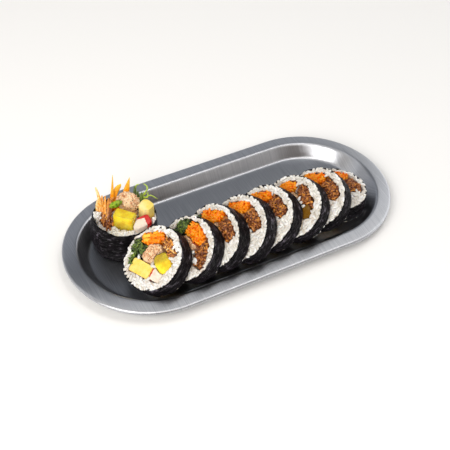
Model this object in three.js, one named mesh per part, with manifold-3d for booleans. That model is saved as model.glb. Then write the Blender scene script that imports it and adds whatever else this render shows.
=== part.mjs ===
import * as THREE from 'three';
import { mergeVertices } from 'three/addons/utils/BufferGeometryUtils.js';
import Module from 'manifold-3d';

// Sliced rice roll on an oval steel tray. Millimetres, +Z up, origin at the centre of the tray's underside,
// +X along the tray. Eight slices lean on one another towards +X, the last lies flat, and the uncut end of the
// roll stands upright beside the first slice.

const GAP = 0.3;                 // clearance between pieces that rest on or fit into one another

const TRAY = {
  length: 285, width: 140,       // outside
  sheet: 1,                      // sheet thickness
  rim: 12,                       // width of the flat rim
  rimDrop: 1.5,                  // the rim slopes down this much towards its outer edge
  lip: 1.6,                      // depth of the turned-down outer edge
  depth: 10.7,                   // floor to the rim's inner edge
  wallRun: 7.8,                  // how far the wall slopes inwards on its way down
  edgeRadius: 1.8,               // rounding between rim and wall
  lipRadius: 1.6,                // rounding between rim and turned-down edge
  footRadius: 4,                 // rounding between wall and floor
  arcSteps: 16,                  // facets round each half-circle end
};

const NORI = 0.5;                // thickness of the moist seaweed wrap
const OUTLINE_STEPS = 28;        // facets round a roll
const GRAIN = {
  length: 6, width: 2.8, thickness: 2.4,   // one cooked grain
  sink: 0.3,                     // how far its middle lies under a cut face
  clear: 1.5,                    // distance kept from the fillings
  edge: 1.4,                     // distance kept from the wrap
  tilt: 0.5,                     // range of tilts out of the face, in radians
};

// One row per slice: centre of the front face (x, y), lean of the roll's axis above level, turn of the row about
// the vertical, radius up the face and across it, thickness, turn of the roll about its axis, grains on the face.
const SLICES = [
  { x: -84.7, y: -29.2, lean: 52.1, turn: 6.3, up: 26.6, across: 25.8, thick: 15.0, roll: 0, grains: 20 },
  { x: -56.8, y: -31.1, lean: 44.3, turn: 7.1, up: 25.3, across: 25.8, thick: 14.4, roll: -45, grains: 10 },
  { x: -34.3, y: -29.8, lean: 42.5, turn: 7.2, up: 25.3, across: 26.6, thick: 14.6, roll: -8, grains: 10 },
  { x: -11.5, y: -31.0, lean: 42.4, turn: 7.2, up: 26.1, across: 27.2, thick: 14.6, roll: -5, grains: 10 },
  { x: 12.1, y: -29.2, lean: 45.1, turn: 8.7, up: 26.1, across: 27.2, thick: 14.8, roll: 4, grains: 10 },
  { x: 37.0, y: -29.5, lean: 45.4, turn: 9.2, up: 26.6, across: 27.2, thick: 14.6, roll: 10, grains: 10 },
  { x: 61.4, y: -27.2, lean: 50.4, turn: 12.7, up: 25.6, across: 25.8, thick: 14.4, roll: -6, grains: 10 },
  { x: 91.6, y: -15.3, lean: 90, turn: 0, up: 24.7, across: 25.2, thick: 14.8, roll: 10, grains: 10 },
];
const SEPARATE = { 1: ['spinach', 'tuna', 'egg', 'radish', 'crab'], 2: ['spinach'], 6: ['radish'] };

// The roll's fillings in cross-section, seen from the front with the roll unturned: centre, size, turn in
// degrees, squareness (2 is an ellipse, more is boxier) and waviness of the outline. Earlier ones keep their
// shape and later ones are pressed around them.
const FILLINGS = {
  egg: { color: 0xf6d962, blobs: [{ x: -2.1, y: -12.1, w: 20.5, h: 11.3, turn: 17, square: 7, wave: 0 }] },
  radish: { color: 0xe8c02a, blobs: [{ x: 9.6, y: 3.3, w: 17, h: 12.6, turn: -12, square: 3.2, wave: 0.02 }] },
  crab: { color: 0xead9c8, blobs: [{ x: 13, y: -7, w: 11, h: 9.6, turn: 14, square: 4, wave: 0.02 }] },
  carrot: { color: 0xf9811c, blobs: [{ x: -12.8, y: 10.2, w: 21, h: 9.4, turn: 44, square: 3, wave: 0.06 }] },
  burdock: { color: 0x9a5a32, blobs: [{ x: 4.8, y: 15.6, w: 20, h: 10, turn: -6, square: 3, wave: 0.07 }] },
  spinach: {
    color: 0x565f38,
    blobs: [
      { x: -16.6, y: -1.4, w: 13, h: 16, turn: 0, square: 2.5, wave: 0.06 },
      { x: -14.2, y: -13, w: 4, h: 9.5, turn: 26, square: 2.5, wave: 0.05 },
    ],
  },
  tuna: { color: 0xd9ab80, blobs: [{ x: -4.2, y: 1.9, w: 14, h: 18, turn: -8, square: 2.8, wave: 0.03 }] },
};
// Further along the roll the fillings have slid: the radish and the crab stick lie further in, and the brown
// shreds have spread towards the right. The second slice has the most carrot. In the sixth slice the radish is
// at the right again.
const ROW_FILLINGS = {
  ...FILLINGS,
  radish: { ...FILLINGS.radish, blobs: [{ x: 5, y: -3.5, w: 15, h: 11, turn: -8, square: 3.2, wave: 0.02 }] },
  crab: { ...FILLINGS.crab, blobs: [{ x: 12, y: -9, w: 11, h: 9.6, turn: 14, square: 4, wave: 0.02 }] },
  burdock: { ...FILLINGS.burdock, blobs: [{ x: 3.8, y: 13, w: 22.5, h: 12, turn: -12, square: 3, wave: 0.05 }] },
};
const SECOND_FILLINGS = {
  ...ROW_FILLINGS,
  carrot: { ...FILLINGS.carrot, blobs: [{ x: -10, y: 8, w: 22, h: 13, turn: 40, square: 3, wave: 0.05 }] },
  burdock: { ...FILLINGS.burdock, blobs: [{ x: 6.2, y: 12.9, w: 24, h: 12, turn: -15, square: 3, wave: 0.05 }] },
};
const SIXTH_FILLINGS = {
  ...ROW_FILLINGS,
  carrot: { ...FILLINGS.carrot, blobs: [{ x: -11.6, y: 12.4, w: 16, h: 9, turn: 44, square: 3, wave: 0.05 }] },
  burdock: { ...FILLINGS.burdock, blobs: [{ x: 7, y: 11.8, w: 24, h: 10.5, turn: -34, square: 3, wave: 0.05 }] },
  radish: { ...FILLINGS.radish, blobs: [{ x: 13.5, y: 2, w: 11, h: 9.5, turn: -50, square: 3.2, wave: 0.02 }] },
};
const LAYOUTS = { 1: FILLINGS, 2: SECOND_FILLINGS, 6: SIXTH_FILLINGS };   // the other slices have the row's
const BLOB_STEPS = { own: 12, joined: 8 };   // facets round a filling with its own node, and round the others
const CUT = 5;                   // how far a cutting shape runs past what it cuts

// The uncut end stands on its cut face, and its fillings stand out at the top. Places are relative to its axis,
// and top is the height of each filling at its own middle, with slope in x and y.
const END = {
  x: -84.2, y: 21.9, across: 25.3, up: 24.0, height: 26,
  riceTop: 24.5,                 // height of the rice between the fillings
  noriRise: 4, noriSide: 155,    // the wrap's edge stands this much higher on this side, in degrees
  seed: 9,                       // the shape of its outline
  grains: 12,
};
const END_FILLINGS = {
  radish: {
    top: 37.3,
    blobs: [{ x: -3.4, y: -7.2, w: 16.5, h: 8.6, turn: -48, square: 6, wave: 0 }],
  },
  crab: {
    top: 30, slope: [-0.1, 0.45],
    blobs: [{ x: 7.8, y: -14.4, w: 16, h: 8, turn: 10, square: 4, wave: 0.02 }],
  },
  egg: {
    top: 36.5, slope: [0, 0.15],
    blobs: [{ x: 16.2, y: -5, w: 10.5, h: 10.5, turn: 25, square: 3.4, wave: 0.02 }],
  },
  tuna: { top: 28, blobs: [{ x: 5.2, y: 5, w: 13.5, h: 13, turn: 0, square: 2.6, wave: 0.03 }] },
  carrot: { top: 28, blobs: [{ x: -1.5, y: 16.2, w: 18, h: 8, turn: 2, square: 3, wave: 0.04 }] },
  burdock: { top: 29, blobs: [{ x: -14.8, y: 4.5, w: 8.5, h: 17, turn: 2, square: 3, wave: 0.06 }] },
  spinach: { top: 29, blobs: [{ x: 15.8, y: 8.6, w: 8.6, h: 10, turn: -35, square: 2.5, wave: 0.06 }] },
};
const TUNA_DOME = { x: 6, y: 7, z: 33, w: 17.5, h: 11, rise: 8.5, turn: -51 };
// Clumps of rice that stand above the rest: middle and half sizes.
const CLUMPS = [
  { x: -17.2, y: 12, z: 25, a: 3, b: 2.8, c: 4.4 },
  { x: 17, y: -13, z: 24, a: 2.6, b: 2.4, c: 4 },
  { x: -3.5, y: -18, z: 23.6, a: 6, b: 3, c: 3 },
];
// Cut strips that stand out: where they leave the bundle and where they end.
const SPEARS = [
  { node: 'carrot', from: [-4, 15, 20], to: [0.4, 21.3, 54], width: 4.4, tip: 0.8, bow: 0.8 },
  { node: 'carrot', from: [-1, 15.5, 20], to: [4.5, 17, 46], width: 4.0, tip: 0.6, bow: -1.6 },
  { node: 'carrot', from: [3.5, 17, 20], to: [13, 17.5, 49.5], width: 4.6, tip: 1.0, bow: 1.0 },
  { node: 'burdock', from: [-13.5, 9, 20], to: [-14.8, 20, 48], width: 3.0, tip: 1.6, bow: 1.2 },
  { node: 'burdock', from: [-15, 5, 20], to: [-19.2, 10, 38], width: 3.4, tip: 2.2, bow: 1.8 },
  { node: 'burdock', from: [-13.5, 2, 20], to: [-15, 6.5, 39.5], width: 3.4, tip: 2.2, bow: 1.6 },
  { node: 'burdock', from: [-16, 0, 20], to: [-19, 3, 35], width: 3.0, tip: 2.0, bow: 1.2 },
  { node: 'burdock', from: [-12.6, 6, 20], to: [-10.6, 11.5, 39], width: 3.2, tip: 2.0, bow: 1.2 },
];
// Thin stems that curl out of the spinach, as points along each one.
const STEMS = [
  [[14, 9, 25], [15.5, 12.5, 31], [14.5, 14.5, 36], [16.5, 15, 38.5]],
  [[15, 8, 25], [18.5, 10.5, 31], [21.5, 11, 36], [19.5, 12.5, 40], [17.5, 12.5, 40.5]],
  [[17, 7, 25], [21, 7, 31], [24, 6, 34], [27.5, 3, 32.5]],
];
const STEM_RADIUS = 0.65;
const LEAF = { x: -5, y: 4.6, z: 39.4, w: 9, h: 7, thick: 0.5, wave: 0.9, lean: 32 };

const RICE_COLOR = 0xe2dccf;
const NORI_COLOR = 0x241f23;
const LEAF_COLOR = 0x7fae3a;
const STEEL_COLOR = 0xa4a6ac;
const REST_COLOR = 0xe9cf8a;     // the fillings of a slice that are made as one piece

const wasm = await Module();
wasm.setup();
const { Manifold, Mesh: SolidMesh } = wasm;
const radians = THREE.MathUtils.degToRad;

function seeded(seed) {
  let state = seed >>> 0;
  return () => {
    state = (state + 0x6d2b79f5) >>> 0;
    let t = state;
    t = Math.imul(t ^ (t >>> 15), t | 1);
    t ^= t + Math.imul(t ^ (t >>> 7), t | 61);
    return ((t ^ (t >>> 14)) >>> 0) / 4294967296;
  };
}

function toSolid(geometry) {
  const bare = geometry.clone();
  bare.deleteAttribute('normal');
  bare.deleteAttribute('uv');
  const merged = mergeVertices(bare, 1e-4);
  return new Manifold(new SolidMesh({
    numProp: 3,
    vertProperties: new Float32Array(merged.attributes.position.array),
    triVerts: new Uint32Array(merged.index.array),
  }));
}

function toGeometry(solid) {
  const data = solid.getMesh();
  const geometry = new THREE.BufferGeometry();
  geometry.setAttribute('position', new THREE.BufferAttribute(new Float32Array(data.vertProperties), 3));
  geometry.setIndex(new THREE.BufferAttribute(new Uint32Array(data.triVerts), 1));
  geometry.computeVertexNormals();
  return geometry;
}

// Cuts can leave crumbs; the largest piece is the filling.
function largest(solid) {
  const pieces = solid.decompose();
  return pieces.reduce((best, piece) => (piece.volume() > best.volume() ? piece : best));
}

function joinAll(solids) {
  return solids.reduce((all, one) => all.add(one));
}

function makeMesh(name, geometry, color, roughness = 0.6, metalness = 0) {
  const mesh = new THREE.Mesh(geometry, new THREE.MeshStandardMaterial({ color, roughness, metalness }));
  mesh.name = name;
  return mesh;
}

// --- Tray ---------------------------------------------------------------------------------------------------

// The sheet's middle line from the centre of the floor to the turned-down outer edge.
function trayMiddle() {
  const half = TRAY.width / 2;
  const mid = TRAY.sheet / 2;
  const rimIn = half - TRAY.rim;
  const footOut = rimIn - TRAY.wallRun;
  const top = mid + TRAY.depth;
  const slope = new THREE.Vector2(TRAY.wallRun, TRAY.depth).normalize();
  const rimSlope = new THREE.Vector2(TRAY.rim, -TRAY.rimDrop).normalize();
  const path = new THREE.Path();
  path.moveTo(0, mid);
  path.lineTo(footOut - TRAY.footRadius / 2, mid);
  const footHalf = TRAY.footRadius / 2;
  path.quadraticCurveTo(footOut, mid, footOut + slope.x * footHalf, mid + slope.y * footHalf);
  path.lineTo(rimIn - slope.x * TRAY.edgeRadius, top - slope.y * TRAY.edgeRadius);
  path.quadraticCurveTo(rimIn, top, rimIn + rimSlope.x * TRAY.edgeRadius, top + rimSlope.y * TRAY.edgeRadius);
  const outer = half - mid;
  const outerTop = top - TRAY.rimDrop;
  path.lineTo(outer - rimSlope.x * TRAY.lipRadius, outerTop - rimSlope.y * TRAY.lipRadius);
  path.quadraticCurveTo(outer, outerTop, outer, outerTop - TRAY.lip);
  return path.getPoints(3);
}

function trayProfile() {
  const middle = trayMiddle().filter((p, i, all) => i === 0 || p.distanceTo(all[i - 1]) > 1e-3);
  const side = (sign) => middle.map((p, i) => {
    const before = middle[Math.max(i - 1, 0)];
    const after = middle[Math.min(i + 1, middle.length - 1)];
    const along = after.clone().sub(before).normalize();
    if (i === 0) along.set(1, 0);
    return new THREE.Vector2(p.x + sign * along.y * TRAY.sheet / 2, p.y - sign * along.x * TRAY.sheet / 2);
  });
  return [...side(1), ...side(-1).reverse()];
}

// A turned profile whose two halves are pulled apart, so that the round becomes a racetrack outline.
function racetrack(profile, straight, arcSteps) {
  const steps = 2 * arcSteps + 2;
  const geometry = new THREE.LatheGeometry(profile, steps);
  const position = geometry.attributes.position;
  for (let column = 0; column <= steps; column++) {
    const k = column % steps;
    const right = k <= arcSteps;
    const angle = (right ? k : k - 1) / arcSteps * Math.PI;
    const shift = right ? straight / 2 : -straight / 2;
    profile.forEach((p, row) => {
      position.setXYZ(column * profile.length + row,
        shift + p.x * Math.sin(angle), -p.x * Math.cos(angle), p.y);
    });
  }
  geometry.computeVertexNormals();
  return geometry;
}

// --- Roll ---------------------------------------------------------------------------------------------------

function outlineRadius(angle, seed) {
  return 1 + 0.012 * Math.sin(2 * angle + seed) + 0.008 * Math.sin(3 * angle + 2.1 * seed)
    + 0.004 * Math.sin(7 * angle + 3.7 * seed);
}

// Outline of the roll, inset from its wrap's outside.
function rollPoints(across, up, seed, inset) {
  return Array.from({ length: OUTLINE_STEPS }, (_, i) => {
    const angle = 2 * Math.PI * i / OUTLINE_STEPS;
    const k = outlineRadius(angle, seed);
    return new THREE.Vector2((across * k - inset) * Math.cos(angle), (up * k - inset) * Math.sin(angle));
  });
}

function extrude(points, z0, z1, hole) {
  const shape = new THREE.Shape(points);
  if (hole) shape.holes.push(new THREE.Path(hole));
  const geometry = new THREE.ExtrudeGeometry(shape, { depth: z1 - z0, bevelEnabled: false });
  return geometry.translate(0, 0, z0);
}

function turned(x, y, degrees) {
  const a = radians(degrees);
  return new THREE.Vector2(x * Math.cos(a) - y * Math.sin(a), x * Math.sin(a) + y * Math.cos(a));
}

// One filling's section, grown all round by grow, on a roll turned by roll degrees.
function blobPoints(blob, grow, roll, steps) {
  return Array.from({ length: steps }, (_, i) => {
    const a = 2 * Math.PI * (i + 0.5) / steps;
    const c = Math.cos(a);
    const s = Math.sin(a);
    const wave = 1 + blob.wave * (Math.sin(3 * a + blob.x) + 0.7 * Math.sin(5 * a + blob.y));
    const r = wave / (Math.abs(c) ** blob.square + Math.abs(s) ** blob.square) ** (1 / blob.square);
    const p = turned((blob.w / 2 * r + grow) * c, (blob.h / 2 * r + grow) * s, blob.turn);
    return turned(p.x + blob.x, p.y + blob.y, roll);
  });
}

function fillingSolid(filling, grow, z0, z1, roll, steps = BLOB_STEPS.own) {
  return joinAll(filling.blobs.map((blob) => {
    const geometry = extrude(blobPoints(blob, grow, roll, steps), z0, z1);
    if (filling.slope && grow === 0) slopeTop(geometry, z1, filling.slope, blob);
    return toSolid(geometry);
  }));
}

// Tilts a filling's top about its own middle.
function slopeTop(geometry, top, slope, middle) {
  const position = geometry.attributes.position;
  for (let i = 0; i < position.count; i++) {
    if (position.getZ(i) < top) continue;
    const rise = slope[0] * (position.getX(i) - middle.x) + slope[1] * (position.getY(i) - middle.y);
    position.setZ(i, top + rise);
  }
}

function insideFilling(filling, x, y, margin, roll) {
  const q = turned(x, y, -roll);
  return filling.blobs.some((blob) => {
    const p = turned(q.x - blob.x, q.y - blob.y, -blob.turn);
    return (Math.abs(p.x) / (blob.w / 2 + margin)) ** blob.square
      + (Math.abs(p.y) / (blob.h / 2 + margin)) ** blob.square < 1;
  });
}

function grainAt(x, y, z, angle, tilt) {
  return toSolid(new THREE.SphereGeometry(0.5, 6, 3)
    .scale(GRAIN.width, GRAIN.length, GRAIN.thickness)
    .rotateX(tilt)
    .rotateZ(angle)
    .translate(x, y, z));
}

// Grains spread evenly over the rice that shows: each is the best of several tries at keeping its distance.
function scatterGrains(count, seed, radiusX, radiusY, layout, roll) {
  const random = seeded(seed);
  const grains = [];
  const reach = GRAIN.length / 2;
  for (let tries = 0; grains.length < count && tries < 40 * count; tries++) {
    let best = null;
    for (let i = 0; i < 24; i++) {
      const a = 2 * Math.PI * random();
      const r = Math.sqrt(random());
      const angle = Math.PI * random();
      const tilt = GRAIN.tilt * (random() - 0.5);
      const g = { x: radiusX * r * Math.cos(a), y: radiusY * r * Math.sin(a), angle, tilt };
      const fits = [-1, -0.5, 0, 0.5, 1].every((k) => {
        const x = g.x - k * reach * Math.sin(angle);
        const y = g.y + k * reach * Math.cos(angle);
        return (x / (radiusX - GRAIN.edge)) ** 2 + (y / (radiusY - GRAIN.edge)) ** 2 < 1
          && Object.values(layout).every((filling) => !insideFilling(filling, x, y, GRAIN.clear, roll));
      });
      if (!fits) continue;
      const space = Math.min(99, ...grains.map((o) => Math.hypot(o.x - g.x, o.y - g.y)));
      if (!best || space > best.space) best = { ...g, space };
    }
    if (best && best.space > GRAIN.width) grains.push(best);
  }
  return grains;
}

// The fillings named, each pressed around those before it, and the room that they take with their clearance.
function pressFillings(layout, names, z0, topOf, roll) {
  const solids = {};
  let taken = null;
  for (const name of names) {
    const solid = fillingSolid(layout[name], 0, z0, topOf(name), roll);
    solids[name] = taken ? largest(solid.subtract(taken)) : solid;
    const grown = fillingSolid(layout[name], GAP, z0 - CUT, topOf(name) + CUT, roll);
    taken = taken ? taken.add(grown) : grown;
  }
  return { solids, taken };
}

function makeSlice(number, spec) {
  const { across, up, thick, roll } = spec;
  const name = `slice_${number}`;
  const group = new THREE.Group();
  const wrap = extrude(rollPoints(across, up, number, 0), -thick, 0, rollPoints(across, up, number, NORI));
  group.add(makeMesh(`${name}_nori`, wrap, NORI_COLOR, 0.45));

  const layout = LAYOUTS[number] ?? ROW_FILLINGS;
  const all = Object.keys(layout);
  const own = all.filter((key) => ['carrot', 'burdock', ...(SEPARATE[number] ?? [])].includes(key));
  const rest = all.filter((key) => !own.includes(key)).map((key) => layout[key]);
  const { solids, taken } = pressFillings(layout, own, -thick, () => 0, roll);
  for (const key of own) {
    group.add(makeMesh(`${name}_${key}`, toGeometry(solids[key]), layout[key].color, 0.5));
  }
  let pocket = taken;
  if (rest.length) {
    const joined = (grow, z0, z1) => joinAll(
      rest.map((filling) => fillingSolid(filling, grow, z0, z1, roll, BLOB_STEPS.joined)));
    const inner = largest(joined(GAP, -thick, 0).subtract(taken));
    group.add(makeMesh(`${name}_fillings`, toGeometry(inner), REST_COLOR, 0.5));
    pocket = pocket.add(joined(2 * GAP, -thick - CUT, CUT));
  }

  const inset = NORI + GAP;
  let rice = largest(toSolid(extrude(rollPoints(across, up, number, inset), -thick, 0)).subtract(pocket));
  for (const g of scatterGrains(spec.grains, 100 + number, across - inset, up - inset, layout, roll)) {
    rice = rice.add(grainAt(g.x, g.y, -GRAIN.sink, g.angle, g.tilt));
  }
  group.add(makeMesh(`${name}_rice`, toGeometry(rice), RICE_COLOR));

  const lean = radians(spec.lean);
  const turn = radians(spec.turn);
  const back = new THREE.Vector3(Math.cos(turn), Math.sin(turn), 0);
  const normal = back.clone().multiplyScalar(-Math.cos(lean)).setZ(Math.sin(lean));
  const faceUp = back.clone().multiplyScalar(Math.sin(lean)).setZ(Math.cos(lean));
  const faceRight = new THREE.Vector3().crossVectors(faceUp, normal);
  group.quaternion.setFromRotationMatrix(new THREE.Matrix4().makeBasis(faceRight, faceUp, normal));
  group.position.set(spec.x, spec.y, 0);
  group.position.z = TRAY.sheet + GAP - new THREE.Box3().setFromObject(group, true).min.z;
  return group;
}

// --- End piece ----------------------------------------------------------------------------------------------

// A cut strip from one point to another, tapering and bowed sideways.
function spear({ from, to, width, tip, bow }, grow = 0) {
  const start = new THREE.Vector3(...from);
  const axis = new THREE.Vector3(...to).sub(start);
  const length = axis.length();
  const geometry = new THREE.CylinderGeometry(tip / 2 + grow, width / 2 + grow, length + grow, 5, 3);
  const position = geometry.attributes.position;
  for (let i = 0; i < position.count; i++) {
    const t = position.getY(i) / length + 0.5;
    position.setX(i, position.getX(i) + bow * Math.sin(Math.PI * t));
  }
  geometry.translate(0, length / 2, 0);
  const upright = new THREE.Vector3(0, 1, 0);
  geometry.applyQuaternion(new THREE.Quaternion().setFromUnitVectors(upright, axis.normalize()));
  return toSolid(geometry.translate(start.x, start.y, start.z));
}

function stem(points, grow = 0) {
  const curve = new THREE.CatmullRomCurve3(points.map((p) => new THREE.Vector3(...p)));
  const section = new THREE.Shape(Array.from({ length: 5 }, (_, i) => new THREE.Vector2(
    (STEM_RADIUS + grow) * Math.cos(2 * Math.PI * i / 5), (STEM_RADIUS + grow) * Math.sin(2 * Math.PI * i / 5))));
  return toSolid(new THREE.ExtrudeGeometry(section, { steps: 7, extrudePath: curve, bevelEnabled: false }));
}

// A thin wavy leaf: both faces carry the same waves.
function leafGeometry({ x, y, z, w, h, thick, wave, lean }) {
  const geometry = new THREE.CylinderGeometry(1, 1, thick, 12, 1).rotateX(Math.PI / 2);
  const position = geometry.attributes.position;
  for (let i = 0; i < position.count; i++) {
    const u = position.getX(i);
    const v = position.getY(i);
    const lift = wave * Math.sin(3.1 * u + 1.2) * Math.cos(2.4 * v) * (u * u + v * v);
    position.setXYZ(i, u * w / 2, v * h / 2 * (1 - 0.25 * u), position.getZ(i) + lift);
  }
  geometry.rotateX(radians(lean)).translate(x, y, z);
  geometry.computeVertexNormals();
  return geometry;
}

function makeEnd() {
  const group = new THREE.Group();
  const { across, up, height, riceTop, seed } = END;
  const wrap = extrude(rollPoints(across, up, seed, 0), 0, height, rollPoints(across, up, seed, NORI));
  const position = wrap.attributes.position;
  for (let i = 0; i < position.count; i++) {
    if (position.getZ(i) < height / 2) continue;
    const a = Math.atan2(position.getY(i), position.getX(i));
    const near = Math.max(0, Math.cos(a - radians(END.noriSide)));
    position.setZ(i, height + END.noriRise * near * near + 0.5 * Math.sin(4 * a + 1) + 0.3 * Math.sin(9 * a));
  }
  wrap.computeVertexNormals();
  group.add(makeMesh('end_nori', wrap, NORI_COLOR, 0.45));

  const names = Object.keys(END_FILLINGS);
  const { solids, taken } = pressFillings(END_FILLINGS, names, 0, (key) => END_FILLINGS[key].top, 0);
  const dome = new THREE.SphereGeometry(0.5, 9, 6).rotateX(Math.PI / 2)
    .scale(TUNA_DOME.w, TUNA_DOME.h, 2 * TUNA_DOME.rise).rotateZ(radians(TUNA_DOME.turn))
    .translate(TUNA_DOME.x, TUNA_DOME.y, TUNA_DOME.z);
  solids.tuna = solids.tuna.add(toSolid(dome));

  const thin = [
    ...SPEARS.map((strip) => ({ node: strip.node, make: (grow) => spear(strip, grow) })),
    ...STEMS.map((points) => ({ node: 'spinach', make: (grow) => stem(points, grow) })),
  ];
  const inset = NORI + GAP;
  let rice = largest(toSolid(extrude(rollPoints(across, up, seed, inset), 0, riceTop)).subtract(taken));
  const inner = toSolid(extrude(rollPoints(across, up, seed, inset), 0, 2 * height)).subtract(taken);
  const lumps = CLUMPS.map(({ x, y, z, a, b, c }) => toSolid(
    new THREE.SphereGeometry(1, 7, 5).rotateX(Math.PI / 2).scale(a, b, c).translate(x, y, z)).intersect(inner));
  rice = joinAll([rice, ...lumps]);
  for (const g of scatterGrains(END.grains, seed, across - inset, up - inset, END_FILLINGS, 0)) {
    rice = rice.add(grainAt(g.x, g.y, riceTop - GRAIN.sink, g.angle, g.tilt));
  }
  for (const { node, make } of thin) {
    const grown = make(GAP);
    rice = rice.subtract(grown);
    for (const key of names) {
      solids[key] = key === node ? solids[key].add(make(0)) : solids[key].subtract(grown);
    }
  }
  for (const key of names) {
    group.add(makeMesh(`end_${key}`, toGeometry(largest(solids[key])), FILLINGS[key].color, 0.5));
  }
  group.add(makeMesh('end_rice', toGeometry(largest(rice)), RICE_COLOR));
  group.add(makeMesh('end_leaf', leafGeometry(LEAF), LEAF_COLOR, 0.5));
  group.position.set(END.x, END.y, TRAY.sheet + GAP);
  return group;
}

// --- Assembly -----------------------------------------------------------------------------------------------

const part = new THREE.Group();
const trayGeometry = racetrack(trayProfile(), TRAY.length - TRAY.width, TRAY.arcSteps);
part.add(makeMesh('tray', trayGeometry, STEEL_COLOR, 0.35, 1));
SLICES.forEach((spec, i) => part.add(makeSlice(i + 1, spec)));
part.add(makeEnd());

export default part;
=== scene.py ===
import math

import bmesh
import bpy
import numpy as np
from mathutils import Matrix, Vector


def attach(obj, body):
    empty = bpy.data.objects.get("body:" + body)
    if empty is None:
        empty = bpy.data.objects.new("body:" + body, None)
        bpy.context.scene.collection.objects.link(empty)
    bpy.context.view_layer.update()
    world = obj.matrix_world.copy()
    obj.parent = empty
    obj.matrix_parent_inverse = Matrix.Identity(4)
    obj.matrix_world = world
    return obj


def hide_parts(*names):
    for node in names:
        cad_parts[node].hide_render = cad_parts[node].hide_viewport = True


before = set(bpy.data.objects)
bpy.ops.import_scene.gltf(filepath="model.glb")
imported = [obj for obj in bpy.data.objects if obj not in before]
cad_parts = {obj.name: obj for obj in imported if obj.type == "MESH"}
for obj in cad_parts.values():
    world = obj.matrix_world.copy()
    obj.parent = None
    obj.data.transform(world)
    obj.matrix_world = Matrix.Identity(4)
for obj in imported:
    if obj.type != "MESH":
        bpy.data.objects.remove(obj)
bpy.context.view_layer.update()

# === Tray ==============================================================================================
# Long oval serving tray: one sheet of 1 mm stainless steel, brushed across its width before it was pressed.
# It has a flat floor, a sloped wall and a flat rim that falls slightly to its turned-down edge.
MM = 0.001
TRAY_LENGTH, TRAY_WIDTH = 285.0, 140.0
SHEET = 1.0
RIM, RIM_DROP = 12.0, 1.5
LIP, LIP_RADIUS = 1.6, 1.6
WELL_DEPTH, WALL_RUN = 10.7, 7.8
RIM_EDGE_RADIUS, FOOT_RADIUS = 1.8, 4.0
END_STEPS, SIDE_STEPS, BEND_STEPS, FLOOR_STEPS = 72, 24, 7, 6
RIM_STEPS = (4.0, 7.0)
STEEL, STEEL_DARK = "#cdced2", "#adb0b6"
BRUSH_LINE = 0.6        # a brushed line is about 0.1 mm wide; drawn this coarse so that it shows
BRUSH_LENGTH, SMUDGE = 45.0, 38.0


def linear(colour):
    """An sRGB hex colour as linear red, green, blue and alpha."""
    channels = [int(colour[i:i + 2], 16) / 255 for i in (1, 3, 5)]
    return [c / 12.92 if c <= 0.04045 else ((c + 0.055) / 1.055) ** 2.4 for c in channels] + [1.0]


def per_metre(size):
    """Pattern scale for marks of that size in millimetres."""
    return 1 / (size * MM)


def new_finish(name):
    """An empty finish, its tree of nodes and its surface shader."""
    finish = bpy.data.materials.new(name)
    finish.use_nodes = True
    return finish, finish.node_tree, finish.node_tree.nodes["Principled BSDF"]


def give(node, inputs):
    """Sets a node's inputs, each to a value or to what another node's socket sends."""
    for key, value in inputs.items():
        if isinstance(value, bpy.types.NodeSocket):
            node.id_data.links.new(value, node.inputs[key])
        else:
            node.inputs[key].default_value = value


def add(tree, kind, inputs=(), stops=(), **settings):
    """Adds a shader node. Inputs are values or other nodes' sockets, stops are a ramp's colours."""
    made = tree.nodes.new("ShaderNode" + kind)
    for key, value in settings.items():
        setattr(made, key, value)
    for i, (place, colour) in enumerate(stops):
        stop = made.color_ramp.elements[i] if i < 2 else made.color_ramp.elements.new(place)
        stop.position, stop.color = place, linear(colour)
    give(made, dict(inputs))
    return made.outputs


def loft(rings, closed=False):
    """Skins a row of rings. A row that isn't closed gets a middle point at each end."""
    rings = np.asarray(rings, float)
    count, around = rings.shape[:2]
    points = rings.reshape(-1, 3)
    here = np.arange(around)
    after = (here + 1) % around
    faces = []
    for i in range(count if closed else count - 1):
        a, b = i * around, (i + 1) % count * around
        faces += np.stack([a + here, b + here, b + after, a + after], 1).tolist()
    if not closed:
        points = np.vstack([points, rings[0].mean(0), rings[-1].mean(0)])
        first, last, end = count * around, count * around + 1, (count - 1) * around
        faces += np.stack([np.full(around, first), here, after], 1).tolist()
        faces += np.stack([np.full(around, last), end + after, end + here], 1).tolist()
    return points, faces


def weld_points(mesh):
    """Joins points that fall together and turns every face outwards."""
    edit = bmesh.new()
    edit.from_mesh(mesh)
    bmesh.ops.remove_doubles(edit, verts=edit.verts, dist=1e-6)
    bmesh.ops.dissolve_degenerate(edit, edges=edit.edges, dist=1e-7)
    bmesh.ops.recalc_face_normals(edit, faces=edit.faces)
    edit.to_mesh(mesh)
    edit.free()


def make_piece(name, parts, finish, nodes, weld=False):
    """Joins parts, each points in mm, faces and a shade for each point, into one piece of the part."""
    points = np.vstack([part[0] for part in parts]) * MM
    shades = np.concatenate([np.broadcast_to(part[2], len(part[0])) for part in parts])
    faces, start = [], 0
    for part in parts:
        faces += [[start + i for i in face] for face in part[1]]
        start += len(part[0])
    mesh = bpy.data.meshes.new(name)
    mesh.from_pydata(points.tolist(), [], faces)
    mesh.attributes.new("shade", "FLOAT", "POINT").data.foreach_set("value", shades.astype(np.float32))
    if weld:
        weld_points(mesh)
    mesh.shade_smooth()
    mesh.materials.append(finish)
    piece = bpy.data.objects.new(name, mesh)
    bpy.context.scene.collection.objects.link(piece)
    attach(piece, "root")
    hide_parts(*nodes)
    return piece


def bend(start, corner, end):
    """Points along a rounded corner."""
    t = np.linspace(0, 1, BEND_STEPS)[:, None]
    return (1 - t) ** 2 * np.array(start) + 2 * t * (1 - t) * np.array(corner) + t ** 2 * np.array(end)


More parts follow.
